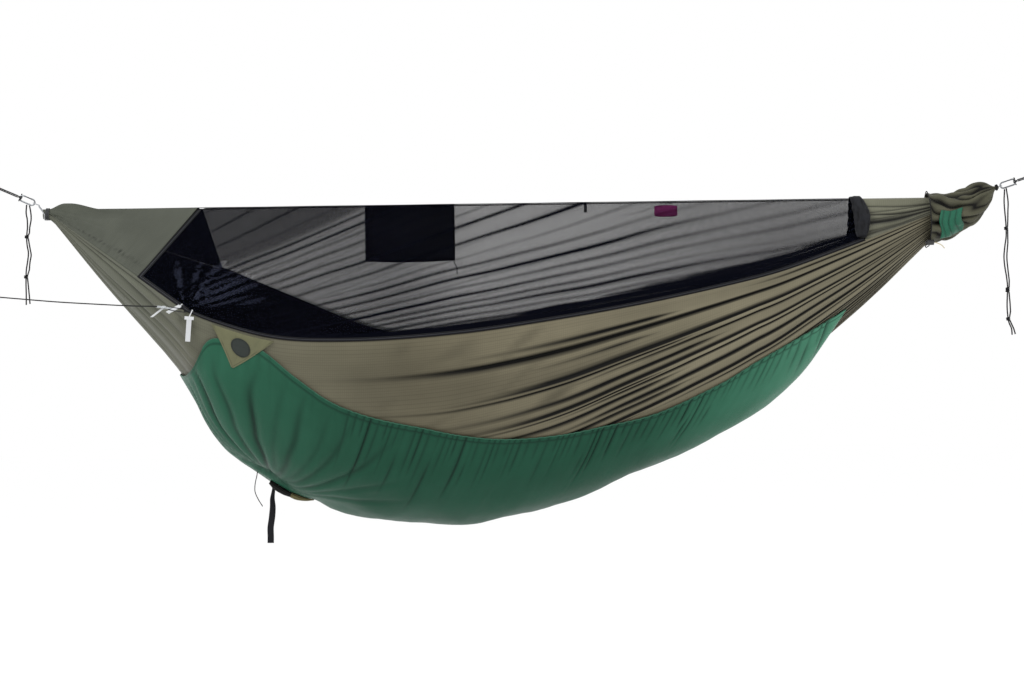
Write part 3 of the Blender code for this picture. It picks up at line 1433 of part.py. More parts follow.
def build():
    clear_scene()
    hammock_body()
    underlayer()
    underlayer_hems()
    zip_tapes()
    bug_nets()
    head_panel("head_panel_front", -1)
    head_panel("head_panel_back", 1)
    foot_panel()
    net_cuff()
    ridge_tape()
    ridgeline()
    ridge_pocket()
    ridge_pouch()
    ridge_toggle()
    zip_hardware()
    gather_binding("left", 0, -1, binding_turns)
    gather_binding("right", ridge_span, 1, binding_turns - 1)
    left_length = math.hypot(left_reach, left_rise)
    right_length = math.hypot(right_reach, right_rise)
    suspension("left", 0, left_reach, left_rise, -1, left_loop_length, left_length, binding_turns)
    suspension("right", ridge_span, right_reach, right_rise, 1, right_loop_length, right_length,
               binding_turns - 1)
    tails()
    storage_sack()
    sack_cords()
    cord_lock()
    sack_lining()
    corner_patch()
    closure()
    compression_strap()
    tie_out()
    loose_cords()


build()
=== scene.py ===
# Hammock tent: cloth, net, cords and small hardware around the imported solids.
import bisect
import random
from math import atan2, copysign, cos, degrees, exp, hypot, pi, radians, sin, sqrt

import bmesh
import bpy
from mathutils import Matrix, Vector, noise


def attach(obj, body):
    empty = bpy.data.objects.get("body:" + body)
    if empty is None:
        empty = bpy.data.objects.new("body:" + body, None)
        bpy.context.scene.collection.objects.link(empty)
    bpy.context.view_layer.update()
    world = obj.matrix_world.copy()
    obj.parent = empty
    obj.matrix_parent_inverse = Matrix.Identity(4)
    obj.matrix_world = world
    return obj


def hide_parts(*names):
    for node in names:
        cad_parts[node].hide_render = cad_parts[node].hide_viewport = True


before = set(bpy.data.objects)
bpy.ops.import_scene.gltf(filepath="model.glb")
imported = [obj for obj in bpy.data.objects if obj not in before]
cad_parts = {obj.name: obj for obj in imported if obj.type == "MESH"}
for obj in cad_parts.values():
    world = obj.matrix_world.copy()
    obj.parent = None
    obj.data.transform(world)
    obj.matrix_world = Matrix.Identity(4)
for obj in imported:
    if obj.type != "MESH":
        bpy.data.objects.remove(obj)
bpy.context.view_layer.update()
scene = bpy.context.scene
print("frame loaded:", len(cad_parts), "nodes")

# The tent's own sizes, in metres, as the solids have them
tent = {
    "span": 2.754, "leftReach": 0.240, "leftRise": 0.105, "rightReach": 0.266, "rightRise": 0.085,
    "depth": 0.887, "frontSpread": 0.450, "backSpread": 0.410, "gather": 0.012,
    "neck": 0.020, "panelTop": 0.447, "cuffMiddle": 2.426, "cuffWidth": 0.052,
    "tieX": 0.4580, "backX": 0.5001, "netCorner": 0.66, "backCorner": 0.93,
    "seam": 0.0003, "zipTape": 0.0050, "chain": 0.0016, "binding": 0.0080, "tape": 0.010,
}
frontEdge = [
    (0.1663, 1.000, 0.355), (0.189, 0.990, 0.385), (0.2535, 0.945, 0.444), (0.324, 0.900, 0.458),
    (0.447, 0.833, 0.438), (0.536, 0.778, 0.402), (0.631, 0.700, 0.354), (0.721, 0.600, 0.298),
    (0.785, 0.500, 0.250), (0.851, 0.367, 0.180), (0.955, 0.110, 0.062), (1.0, 0.02667, 0.01353)]
backEdge = [
    (0.1816, 0.976, 0.206), (0.254, 1.000, 0.304), (0.348, 1.000, 0.422), (0.436, 0.951, 0.457),
    (0.536, 0.878, 0.440), (0.631, 0.793, 0.389), (0.721, 0.683, 0.327), (0.785, 0.573, 0.270),
    (0.851, 0.415, 0.197), (0.955, 0.122, 0.067), (1.0, 0.02927, 0.01353)]
keelLine = [
    (0.0, 0.029), (0.058, 0.252), (0.139, 0.543), (0.183, 0.722), (0.225, 0.817), (0.272, 0.896),
    (0.331, 0.953), (0.420, 0.998), (0.443, 1.000), (0.552, 0.947), (0.618, 0.868), (0.685, 0.784),
    (0.766, 0.660), (0.826, 0.513), (0.891, 0.344), (0.956, 0.153), (1.0, 0.029)]


def addObject(name, data):
    thing = bpy.data.objects.new(name, data)
    scene.collection.objects.link(thing)
    return thing


def finishMesh(name, work, materials, angle=None):
    mesh = bpy.data.meshes.new(name)
    work.to_mesh(mesh)
    work.free()
    mesh.shade_smooth()
    if angle:
        mesh.set_sharp_from_angle(angle=radians(angle))
    for material in materials:
        mesh.materials.append(material)
    return addObject(name, mesh)


class Graph:
    # Short ways to set and join the shader nodes of a material or a world
    def __init__(self, owner):
        owner.use_nodes = True
        self.owner, self.tree = owner, owner.node_tree

    def set(self, node, values):
        for key, value in values.items():
            if isinstance(value, bpy.types.NodeSocket):
                self.tree.links.new(value, node.inputs[key])
            else:
                node.inputs[key].default_value = value
        return node

    def add(self, kind, inputs=(), **settings):
        node = self.tree.nodes.new("ShaderNode" + kind)
        for key, value in settings.items():
            setattr(node, key, value)
        return self.set(node, dict(inputs))

    def maths(self, operation, a, b=0.5, clamp=False):
        return self.add("Math", {0: a, 1: b}, operation=operation, use_clamp=clamp).outputs[0]

    def mix(self, factor, a, b, blend="MIX"):
        return self.add("Mix", {0: factor, 6: a, 7: b}, data_type="RGBA", blend_type=blend).outputs[2]

    def blur(self, where, scale, detail=2):
        inputs = {"Vector": where, "Scale": scale, "Detail": detail}
        return self.add("TexNoise", inputs).outputs["Fac"]

    def band(self, where, pitch, way):
        # Stripes across one way; their scale is 0.314 for stripes a metre apart
        return self.add("TexWave", {"Vector": where, "Scale": 0.314 / pitch}, wave_type="BANDS",
                        bands_direction=way).outputs["Fac"]

    def ranged(self, value, low, high, start=0.0, end=1.0):
        inputs = {"Value": value, "From Min": start, "From Max": end, "To Min": low, "To Max": high}
        return self.add("MapRange", inputs).outputs[0]

    def finish(self, values, height=None, strength=0.0):
        shader = self.set(self.tree.nodes["Principled BSDF"], values)
        if height:
            bump = self.add("Bump", {"Height": height, "Strength": strength, "Distance": 1.0})
            self.set(shader, {"Normal": bump.outputs[0]})
        return self.owner


def setCamera():
    shot = {"place": (1.620, -8.0, -0.519), "lens": 93.75, "roll": 0.81}
    data = bpy.data.cameras.new("camera")
    data.lens = shot["lens"]
    data.clip_end = 100
    camera = addObject("camera", data)
    camera.location = shot["place"]
    camera.rotation_euler = (pi / 2, radians(shot["roll"]), 0)
    scene.camera = camera


def setLight():
    # Each lamp's name, power, place, aim and size
    light = {"world": 1.04, "floor": -2.1, "lamps": [
        ("key", 120, (-0.6, -3.2, 2.6), (1.5, 0, -0.4), 2.6),
        ("fill", 14, (4.6, -3.0, -0.4), (1.6, 0, -0.4), 2.2)]}
    world = bpy.data.worlds.new("studio")
    scene.world = world
    sky = Graph(world)
    soft = sky.set(sky.tree.nodes["Background"], {"Color": (1, 1, 1, 1), "Strength": light["world"]})
    white = sky.add("Background", {"Color": (1, 1, 1, 1), "Strength": 1.0})
    rays = sky.add("LightPath").outputs
    seen = sky.maths("MAXIMUM", rays["Is Camera Ray"], rays["Is Glossy Ray"])
    seen = sky.maths("MAXIMUM", seen, rays["Is Transmission Ray"])
    both = sky.add("MixShader", {0: seen, 1: soft.outputs[0], 2: white.outputs[0]})
    sky.set(sky.tree.nodes["World Output"], {"Surface": both.outputs[0]})
    for name, power, spot, aim, size in light["lamps"]:
        data = bpy.data.lights.new(name, "AREA")
        data.energy, data.size = power, size
        lamp = addObject(name, data)
        lamp.location = spot
        lamp.rotation_euler = (Vector(aim) - Vector(spot)).to_track_quat("-Z", "Y").to_euler()
    scene.view_settings.view_transform = "Standard"
    # The floor is pale and plain from above, and clear from below
    ground = Graph(bpy.data.materials.new("floor"))
    ground.finish({"Base Color": (0.96, 0.96, 0.96, 1), "Roughness": 1.0, "Specular IOR Level": 0.0})
    pale, clear = ground.tree.nodes["Principled BSDF"], ground.add("BsdfTransparent")
    below = ground.add("NewGeometry").outputs["Backfacing"]
    sides = ground.add("MixShader", {0: below, 1: pale.outputs[0], 2: clear.outputs[0]})
    ground.set(ground.tree.nodes["Material Output"], {"Surface": sides.outputs[0]})
    work = bmesh.new()
    bmesh.ops.create_grid(work, x_segments=1, y_segments=1, size=30)
    bmesh.ops.translate(work, verts=work.verts, vec=(0, 0, light["floor"]))
    finishMesh("floor", work, [ground.owner])


setCamera()
setLight()
print("camera and light set")


# The surfaces that the cloth follows

def splineRow(rows, x):
    if x <= rows[0][0]:
        return rows[0][1:]
    if x >= rows[-1][0]:
        return rows[-1][1:]
    i = bisect.bisect_right(rows, x, key=lambda row: row[0]) - 1
    a, b = rows[i], rows[i + 1]
    span = b[0] - a[0]
    t = (x - a[0]) / span
    before = rows[i - 1] if i > 0 else None
    after = rows[i + 2] if i + 2 < len(rows) else None
    values = []
    for c in range(1, len(a)):
        slope = (b[c] - a[c]) / span
        start = (slope + (a[c] - before[c]) / (a[0] - before[0])) / 2 if before else slope
        end = (slope + (after[c] - b[c]) / (after[0] - b[0])) / 2 if after else slope
        values.append((2 * t**3 - 3 * t**2 + 1) * a[c] + (t**3 - 2 * t**2 + t) * span * start
                      + (3 * t**2 - 2 * t**3) * b[c] + (t**3 - t**2) * span * end)
    return values


def place(x, y, z):
    return Vector((tent["leftReach"] + x, y, z - tent["leftRise"]))


def rimPoint(side, x):
    share = x / tent["span"]
    rows, spread, corner = frontEdge, tent["frontSpread"], tent["tieX"] / tent["span"]
    if side > 0:
        rows, spread, corner = backEdge, tent["backSpread"], tent["backX"] / tent["span"]
    if share < corner:
        t = max(0, share) / corner
        out = tent["gather"] + (rows[0][1] * spread - tent["gather"]) * t
        down = tent["gather"] + (rows[0][2] * tent["depth"] - tent["gather"]) * t
    else:
        out, down = splineRow(rows, share)
        out, down = out * spread, down * tent["depth"]
    return place(x, side * out, -down)


def keelHeight(x):
    return -splineRow(keelLine, x / tent["span"])[0] * tent["depth"] - tent["leftRise"]


def wrapPoint(x, v):
    # A point of the body: v is 0 at the keel, -1 at the front rim and 1 at the back rim
    rim, low, turn = rimPoint(-1 if v < 0 else 1, x), keelHeight(x), abs(v) * pi / 2
    return Vector((rim.x, rim.y * sin(turn), low + (rim.z - low) * (1 - cos(turn))))


def wrapNormal(x, v):
    around, along = 0.005, 0.0014
    side = 1 if v > 0 else -1
    if abs(v) < around:
        across = wrapPoint(x, around) - wrapPoint(x, -around)
    else:
        across = (wrapPoint(x, v) - wrapPoint(x, v - side * around)) * side
    run = wrapPoint(min(x + along, tent["span"]), v) - wrapPoint(max(x - along, 0), v)
    return across.cross(run).normalized()


def smoothstep(low, high, x):
    t = min(max((x - low) / (high - low), 0), 1)
    return t * t * (3 - 2 * t)


def halfGirth(side, x):
    rim = rimPoint(side, x)
    return pi / 2 * sqrt((rim.y ** 2 + (rim.z - keelHeight(x)) ** 2) / 2)


def lumps(x, y, z):
    return noise.noise(Vector((x, y, z)))


# Making objects

def dress(piece, body, slot, *nodes):
    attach(piece, body)
    if nodes:
        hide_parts(*nodes)


def reaches(points):
    # The length of a line up to each of its points
    found = [0.0]
    for a, b in zip(points, points[1:]):
        found.append(found[-1] + (b - a).length)
    return found


def coil(turns, steps, radius, frameAt):
    # A cord wound round a line, with the line's point and two directions at a share of the way
    wound = []
    for k in range(turns * steps + 1):
        turn = 2 * pi * k / steps
        middle, across, up = frameAt(k / (turns * steps))
        wound.append(middle + (across * cos(turn) + up * sin(turn)) * radius)
    return wound


def clothGrid(name, cells, size, pointAt, materials, thick=0.0, offset=-1.0, inner=0, turn=False):
    # A grid of cloth cells, moved to pointAt(u, v), which also gives each point's painted shade; its
    # UV map is in metres of flat cloth
    work = bmesh.new()
    flat = work.loops.layers.uv.new("cloth")
    shade = work.verts.layers.float.new("shade")
    bmesh.ops.create_grid(work, x_segments=cells[0], y_segments=cells[1], size=0.5, calc_uvs=False)
    for vert in work.verts:
        u, v = vert.co.x + 0.5, vert.co.y + 0.5
        for loop in vert.link_loops:
            loop[flat].uv = (u * size[0], v * size[1])
        vert.co, vert[shade] = pointAt(u, v)
    if turn:
        bmesh.ops.reverse_faces(work, faces=work.faces)
    thing = finishMesh(name, work, materials)
    if thick:
        wall = thing.modifiers.new("thickness", "SOLIDIFY")
        wall.thickness, wall.offset = thick, offset
        wall.use_even_offset = False
        wall.material_offset = inner
        wall.use_rim = True
    return thing


def cordTube(name, points, width, materials, sides=12, closed=False):
    # A round cord as a mesh; UV runs round it and along it in metres
    points = [Vector(p) for p in points]
    count = len(points)
    runs = []
    for k in range(count):
        if closed:
            runs.append((points[(k + 1) % count] - points[k - 1]).normalized())
        else:
            runs.append((points[min(k + 1, count - 1)] - points[max(k - 1, 0)]).normalized())
    side = runs[0].orthogonal().normalized()
    frames, reach = [], reaches(points + points[:1])
    for run in runs:
        side = (side - run * side.dot(run)).normalized()
        frames.append((side, run.cross(side)))
    rows = count if closed else count - 1
    twist = 0.0
    if closed:
        last = (frames[-1][0] - runs[0] * frames[-1][0].dot(runs[0])).normalized()
        twist = atan2(frames[0][0].cross(last).dot(runs[0]), frames[0][0].dot(last))
    work = bmesh.new()
    flat = work.loops.layers.uv.new("cloth")
    bmesh.ops.create_grid(work, x_segments=sides, y_segments=rows, size=0.5, calc_uvs=False)
    for vert in work.verts:
        k, share = round((vert.co.y + 0.5) * rows), vert.co.x + 0.5
        for loop in vert.link_loops:
            loop[flat].uv = (share * width * pi, reach[k])
        turn = 2 * pi * share - twist * k / rows
        across, up = frames[k % count]
        vert.co = points[k % count] + (across * cos(turn) + up * sin(turn)) * (width / 2)
    bmesh.ops.remove_doubles(work, verts=work.verts, dist=width * 0.01)
    if not closed:
        bmesh.ops.holes_fill(work, edges=work.edges, sides=sides + 1)
    bmesh.ops.recalc_face_normals(work, faces=work.faces)
    return finishMesh(name, work, materials, angle=50)


def smoothRoute(points, spacing):
    # A smooth line through the points, then even steps along it
    between, most = 20, 400
    knots = [Vector(p) for p in points]
    fine = []
    for i in range(len(knots) - 1):
        p1, p2 = knots[i], knots[i + 1]
        p0 = knots[i - 1] if i > 0 else p1 * 2 - p2
        p3 = knots[i + 2] if i + 2 < len(knots) else p2 * 2 - p1
        for t in (k / between for k in range(between)):
            fine.append((p1 * 2 + (p2 - p0) * t + (p0 * 2 - p1 * 5 + p2 * 4 - p3) * t**2
                         + (p1 * 3 - p0 - p2 * 3 + p3) * t**3) / 2)
    fine.append(knots[-1])
    reach = reaches(fine)
    count = max(4, min(most, round(reach[-1] / spacing) + 1))
    even, k = [], 0
    for i in range(count):
        goal = reach[-1] * i / (count - 1)
        while k < len(fine) - 2 and reach[k + 1] < goal:
            k += 1
        step = reach[k + 1] - reach[k]
        share = (goal - reach[k]) / step if step > 0 else 0
        even.append(fine[k].lerp(fine[k + 1], min(max(share, 0), 1)))
    return even


def closeUp(piece, near, sides):
    # Joins the edges that meet and fills the ends
    work = bmesh.new()
    work.from_mesh(piece.data)
    bmesh.ops.remove_doubles(work, verts=work.verts, dist=near)
    bmesh.ops.holes_fill(work, edges=work.edges, sides=sides)
    bmesh.ops.recalc_face_normals(work, faces=work.faces)
    work.to_mesh(piece.data)
    work.free()


# Materials

def linear(channel):
    share = channel / 255
    return share / 12.92 if share <= 0.04045 else ((share + 0.055) / 1.055) ** 2.4


def tint(red, green, blue):
    return (linear(red), linear(green), linear(blue), 1)


# A cloth's own values where its look says nothing else, lengths in metres
plainCloth = {"coords": "UV", "streak": (60, 5, 1), "pitch": 0.0011, "thread": 0.00012,
              "crinkle": 0.0016, "sheen": 0.03, "gloss": 0.12}


def clothMaterial(name, look):
    # Woven cloth: blotches and streaks in its colour, painted shade towards its fold colour where the
    # shade attribute says, threads and crinkles in its bump
    made, look = Graph(bpy.data.materials.new(name)), {**plainCloth, **look}
    low, fold = tint(*look["low"]), tint(*look["fold"])
    where = made.add("TexCoord").outputs[look["coords"]]
    blotch = made.blur(where, 5, 5)
    stretch = made.add("Mapping", {"Vector": where, "Scale": look["streak"]})
    streak = made.blur(stretch.outputs[0], 1, 4)
    ground = made.mix(blotch, low, tint(*look["high"]))
    ground = made.mix(made.ranged(streak, 0, 0.35, 0.35, 0.75), ground, low)
    if "along" in look:
        # Painted light and shade along the tent, on a ramp that spans a little more than its length
        rampLong = 4.0
        spot = made.add("SeparateXYZ", {0: made.add("TexCoord").outputs["Object"]})
        ramp = made.add("ValToRGB", {0: made.maths("DIVIDE", spot.outputs["X"], rampLong)})
        stops = ramp.color_ramp.elements
        for k, (x, colour) in enumerate(look["along"]):
            stop = stops[k] if k < 2 else stops.new(x / rampLong)
            stop.position, stop.color = x / rampLong, tint(*colour)
        ground = made.mix(1.0, ground, ramp.outputs[0], "MULTIPLY")
    # Painted shade in creases and hollows: the shade attribute mixes in the fold colour
    ground = made.mix(made.add("Attribute", attribute_name="shade").outputs["Fac"], ground, fold)
    weave = made.maths("MULTIPLY", *[made.band(where, look["pitch"], way) for way in "XY"])
    if "grid" in look:
        lines = [made.maths("POWER", made.band(where, look["grid"], way), 14.0) for way in "XY"]
        ground = made.mix(made.maths("MULTIPLY", made.maths("MAXIMUM", *lines), 0.22), ground, fold)
    height = made.maths("ADD", made.maths("MULTIPLY", weave, look["thread"]),
                        made.maths("MULTIPLY", streak, look["crinkle"]))
    return made.finish({
        "Base Color": ground,
        "Roughness": made.ranged(blotch, look["rough"] - 0.08, look["rough"] + 0.08),
        "Sheen Weight": look["sheen"], "Sheen Roughness": 0.4,
        "Specular IOR Level": look["gloss"]}, height, 0.7)


def netMaterial(name, look):
    # Fine mesh: threads with holes between them, closer and darker in its creases, with painted
    # highlight streaks where the shade attribute is below zero
    made = Graph(bpy.data.materials.new(name))
    where = made.add("TexCoord").outputs["UV"]
    mesh = made.maths("MAXIMUM", *[made.band(where, look["pitch"], way) for way in "XY"])
    colour = made.mix(made.blur(where, 3), tint(*look["low"]), tint(*look["high"]))
    crease = made.add("Attribute", attribute_name="shade").outputs["Fac"]
    # Painted highlight: streaks of the light colour where the shade attribute is negative
    colour = made.mix(made.maths("MULTIPLY", crease, -1.0, True), colour, tint(*look["light"]))
    holes = made.ranged(mesh, look["hole"], look["thread"], 0.55, 0.95)
    closer = made.maths("ADD", holes, made.maths("ABSOLUTE", crease), True)
    return made.finish({"Base Color": colour, "Alpha": closer, "Roughness": 1.0,
                        "Specular IOR Level": 0.0})


def cordMaterial(name, low, high, pitch=0.0012):
    # Braided cord: crossing strands along its own UV map
    made = Graph(bpy.data.materials.new(name))
    where = made.add("TexCoord").outputs["UV"]
    strands = []
    for slant in (35, -35):
        turned = made.add("Mapping", {"Vector": where, "Rotation": (0, 0, radians(slant))})
        strands.append(made.band(turned.outputs[0], pitch, "Y"))
    braid = made.maths("MAXIMUM", *strands)
    height = made.maths("ADD", made.maths("MULTIPLY", braid, 0.0005),
                        made.maths("MULTIPLY", made.blur(where, 300), 0.0002))
    return made.finish({"Base Color": made.mix(braid, tint(*low), tint(*high)), "Roughness": 0.7,
                        "Sheen Weight": 0.03, "Specular IOR Level": 0.2}, height, 0.8)


def hardMaterial(name, low, high, rough, metal=1.0, clear=0.0):
    # Metal or plastic with wear in its colour and small scratches
    made = Graph(bpy.data.materials.new(name))
    where = made.add("TexCoord").outputs["Object"]
    wear = made.blur(where, 120)
    height = made.maths("MULTIPLY", made.blur(where, 900, 3), 0.0001)
    return made.finish({
        "Base Color": made.mix(wear, tint(*low), tint(*high)), "Metallic": metal,
        "Transmission Weight": clear,
        "Roughness": made.ranged(wear, rough - 0.08, rough + 0.12)}, height, 0.25)


# A look's fold colour is the painted shade of its creases and hollows, and its along ramp is painted
# light and shade along the tent
looks = {
    "bodyCloth": {"low": (108, 103, 86), "high": (134, 128, 108), "fold": (3, 3, 2), "rough": 0.52,
                  "along": [(0.55, (192, 205, 214)), (1.0, (198, 201, 200)), (1.35, (198, 197, 192)),
                            (1.8, (226, 224, 220)), (2.2, (248, 247, 244)), (2.5, (240, 240, 238)),
                            (2.9, (226, 227, 226))],
                  "streak": (2.5, 45, 1), "crinkle": 0.0012, "grid": 0.0065},
    # Near black inner faces: painted shade of the tent's shadowed inside, on olive cloth
    "insidePaintedShade": {"low": (4, 4, 7), "high": (10, 10, 15), "fold": (2, 2, 3), "rough": 0.85,
                   "sheen": 0.0, "gloss": 0.04},
    "panelCloth": {"low": (56, 59, 51), "high": (82, 85, 76), "fold": (22, 22, 19), "rough": 0.55,
                   "streak": (30, 9, 1), "crinkle": 0.0014, "grid": 0.0065},
    "footCloth": {"low": (92, 92, 78), "high": (120, 120, 104), "fold": (9, 9, 8), "rough": 0.5,
                  "streak": (40, 3, 1), "crinkle": 0.0012, "grid": 0.0065},
    "coverCloth": {"low": (62, 120, 96), "high": (92, 150, 126), "fold": (5, 22, 17), "rough": 0.42,
                   "along": [(0.55, (142, 167, 160)), (0.85, (126, 152, 144)), (1.2, (94, 126, 118)),
                             (2.0, (98, 130, 122)), (2.35, (172, 190, 184)), (2.65, (245, 245, 242))],
                   "streak": (34, 3, 1), "crinkle": 0.0014, "gloss": 0.10, "sheen": 0.0,
                   "pitch": 0.0009},
    "coverLining": {"low": (40, 44, 42), "high": (60, 64, 60), "fold": (20, 22, 20), "rough": 0.6},
    "sackCloth": {"low": (58, 58, 46), "high": (92, 91, 74), "fold": (12, 11, 9), "rough": 0.55,
                  "streak": (14, 14, 1), "crinkle": 0.003},
    "sackInside": {"low": (34, 34, 30), "high": (48, 48, 42), "fold": (14, 14, 12), "rough": 0.7},
    "pocketCloth": {"low": (6, 6, 11), "high": (18, 18, 26), "fold": (2, 2, 4), "rough": 0.6,
                    "streak": (18, 18, 1)},
    "pouchCloth": {"low": (158, 44, 120), "high": (184, 84, 152), "fold": (60, 26, 52), "rough": 0.5,
                   "streak": (60, 60, 1), "crinkle": 0.001},
    "patchCloth": {"low": (78, 80, 62), "high": (112, 110, 82), "fold": (40, 40, 30), "rough": 0.7,
                   "pitch": 0.0018, "thread": 0.0002},
    "roundCloth": {"low": (38, 42, 40), "high": (54, 58, 55), "fold": (20, 22, 20), "rough": 0.8,
                   "pitch": 0.0016, "thread": 0.0002},
    "closureCloth": {"low": (14, 14, 14), "high": (34, 34, 32), "fold": (4, 4, 4), "rough": 0.75,
                     "streak": (90, 90, 1), "crinkle": 0.002},
    "tipCloth": {"low": (80, 74, 48), "high": (118, 110, 76), "fold": (34, 30, 20), "rough": 0.65,
                 "streak": (90, 60, 1), "crinkle": 0.003},
    "blackTape": {"low": (6, 6, 9), "high": (15, 15, 19), "fold": (4, 4, 6), "rough": 0.7,
                  "pitch": 0.0012, "thread": 0.0003, "crinkle": 0.0004},
    "zipTeeth": {"low": (34, 35, 40), "high": (60, 62, 68), "fold": (10, 10, 12), "rough": 0.45,
                 "pitch": 0.0018, "thread": 0.0005, "crinkle": 0.0},
    "tagCloth": {"low": (168, 170, 172), "high": (196, 198, 200), "fold": (120, 122, 122),
                 "rough": 0.5, "pitch": 0.0012, "thread": 0.0002, "crinkle": 0.0002,
                 "streak": (20, 20, 1), "coords": "Object"},
    "strapCloth": {"low": (12, 12, 15), "high": (34, 34, 38), "fold": (4, 4, 6), "rough": 0.7,
                   "pitch": 0.0022, "thread": 0.0004, "crinkle": 0.0003, "coords": "Object"},
    "liningCloth": {"low": (14, 66, 48), "high": (40, 108, 84), "fold": (16, 44, 34), "rough": 0.4,
                    "streak": (30, 20, 1), "crinkle": 0.002, "gloss": 0.2},
}
cloth = {name: clothMaterial(name, look) for name, look in looks.items()}
# light is the colour of the net's painted highlight streaks
netLook = {"pitch": 0.0013, "low": (3, 4, 8), "high": (11, 12, 19), "light": (58, 62, 78),
           "hole": 0.22, "thread": 0.40}
cloth["net"] = netMaterial("net", netLook)
cloth["cuffNet"] = clothMaterial("cuffNet", {
    "low": (16, 17, 20), "high": (38, 39, 44), "fold": (4, 4, 6), "rough": 0.7, "streak": (6, 90, 1),
    "crinkle": 0.002, "pitch": 0.0016, "thread": 0.0003})
cord = {
    "black": cordMaterial("blackCord", (4, 4, 5), (20, 20, 22), 0.0016),
    "grey": cordMaterial("greyCord", (110, 112, 116), (172, 174, 178)),
    "binding": cordMaterial("bindingCord", (30, 31, 32), (70, 72, 74)),
    "beige": cordMaterial("beigeCord", (160, 150, 122), (212, 200, 168)),
    "green": cordMaterial("hemElastic", (24, 58, 45), (52, 98, 78))}
hard = {name: hardMaterial(name, *look) for name, look in {
    "alloy": ((92, 94, 97), (128, 131, 134), 0.3),
    "gateAlloy": ((66, 68, 71), (92, 94, 98), 0.34),
    "pinSteel": ((130, 132, 135), (165, 167, 170), 0.26),
    "sliderMetal": ((22, 22, 26), (44, 44, 48), 0.4, 0.6),
    "blackPlastic": ((20, 20, 22), (36, 36, 38), 0.48, 0.0),
    "plungerPlastic": ((30, 30, 32), (44, 44, 46), 0.45, 0.0),
    "clearPlastic": ((196, 200, 202), (222, 226, 228), 0.2, 0.0, 0.6)}.items()}
print("materials made:", len(cloth) + len(cord) + len(hard))

# Creases of the gathered cloth

bodyFolds = {
    "frontLong": [
        # place from the rim (0) to the keel (1) beside the gather, depth, reach from the right gather
        (0.030, 0.005, 0.8), (0.072, 0.028, 2.0), (0.152, 0.018, 1.75), (0.178, 0.007, 1.25),
        (0.250, 0.024, 1.65), (0.274, 0.012, 1.30), (0.340, 0.015, 1.40), (0.420, 0.018, 1.35),
        (0.444, 0.008, 1.10), (0.520, 0.015, 1.30), (0.600, 0.014, 1.2), (0.680, 0.012, 1.1),
        (0.760, 0.011, 1.0), (0.840, 0.010, 1.0), (0.920, 0.010, 1.0)],
    "backLong": [(0.05 + 0.065 * k, 0.010 + 0.004 * sin(k * 2.1), 1.2 + 0.4 * sin(k * 1.3))
                 for k in range(15)],
    "shortDeep": 0.008, "shortReach": 0.62, "columns": 158, "thick": 0.0009, "spreadFrom": 2.1,
    "spread": 1.35, "sway": 0.010, "rimDrop": 0.0007, "stand": 0.0012,
    # Gaps between creases, in metres, over which a crease gets room and its shade shows
    "room": (0.0008, 0.0036), "clear": (0.0017, 0.0044), "shortClear": (0.003, 0.0075),
    # Places along the tent between which the folds turn sharp, and the left folds fade
    "sharp": (0.8, 2.0), "left": (0.28, 0.62),
    "broad": 0.006, "short": 0.0016, "leftDeep": 0.011, "ripple": 0.0014, "fineRipple": 0.0007}


def creaseList(rows, seed):
    # Long creases with a short one between each two, from the rim to the keel
    chance = random.Random(seed)
    found = []
    for (at, deep, reach), (after, _, _) in zip(rows, rows[1:] + [(1.0, 0, 0)]):
        long = reach * chance.uniform(0.93, 1.07)
        found.append({"at": at, "deep": deep, "reach": long, "start": -1})
        fine = after - at > 0.05 and at > 0.5
        found.append({"at": at + (after - at) * chance.uniform(0.38, 0.62),
                      "deep": bodyFolds["shortDeep"] * (chance.uniform(0.7, 1.1) if fine else 0.95),
                      "reach": bodyFolds["shortReach"] * (chance.uniform(0.7, 1.7) if fine else
                                                          chance.uniform(2.3, 3.2)),
                      "start": chance.uniform(0.2, 0.3) if fine else chance.uniform(0.75, 1.05)})
    return found


def wrapShare(q, x):
    # Creases run from the right gather and spread towards the keel as they go left
    far = 1 + bodyFolds["spread"] * max(0, bodyFolds["spreadFrom"] - x) ** 1.1
    return 1 - q * far / (1 + (far - 1) * q)


def bodyRows(creases, side):
    # Rows of the cloth's grid lie on each crease and beside it
    marks = [{"at": at, "deep": 0.0, "reach": 1.0, "start": -1} for at in (0.0, 1.0)]
    marks[1:1] = creases
    rows = []
    for a, b in zip(marks, marks[1:]):
        for t in (0, 0.13, 0.31, 0.5, 0.69, 0.87):
            rows.append((side, a, b, t))
    rows.append((side, marks[-1], marks[-1], 0))
    return rows


frontCreases = creaseList(bodyFolds["frontLong"], 3)
backCreases = creaseList(bodyFolds["backLong"], 8)
frontRows = bodyRows(frontCreases, -1)
backRows = bodyRows(backCreases[::2], 1)
allRows = frontRows + backRows[::-1][1:]


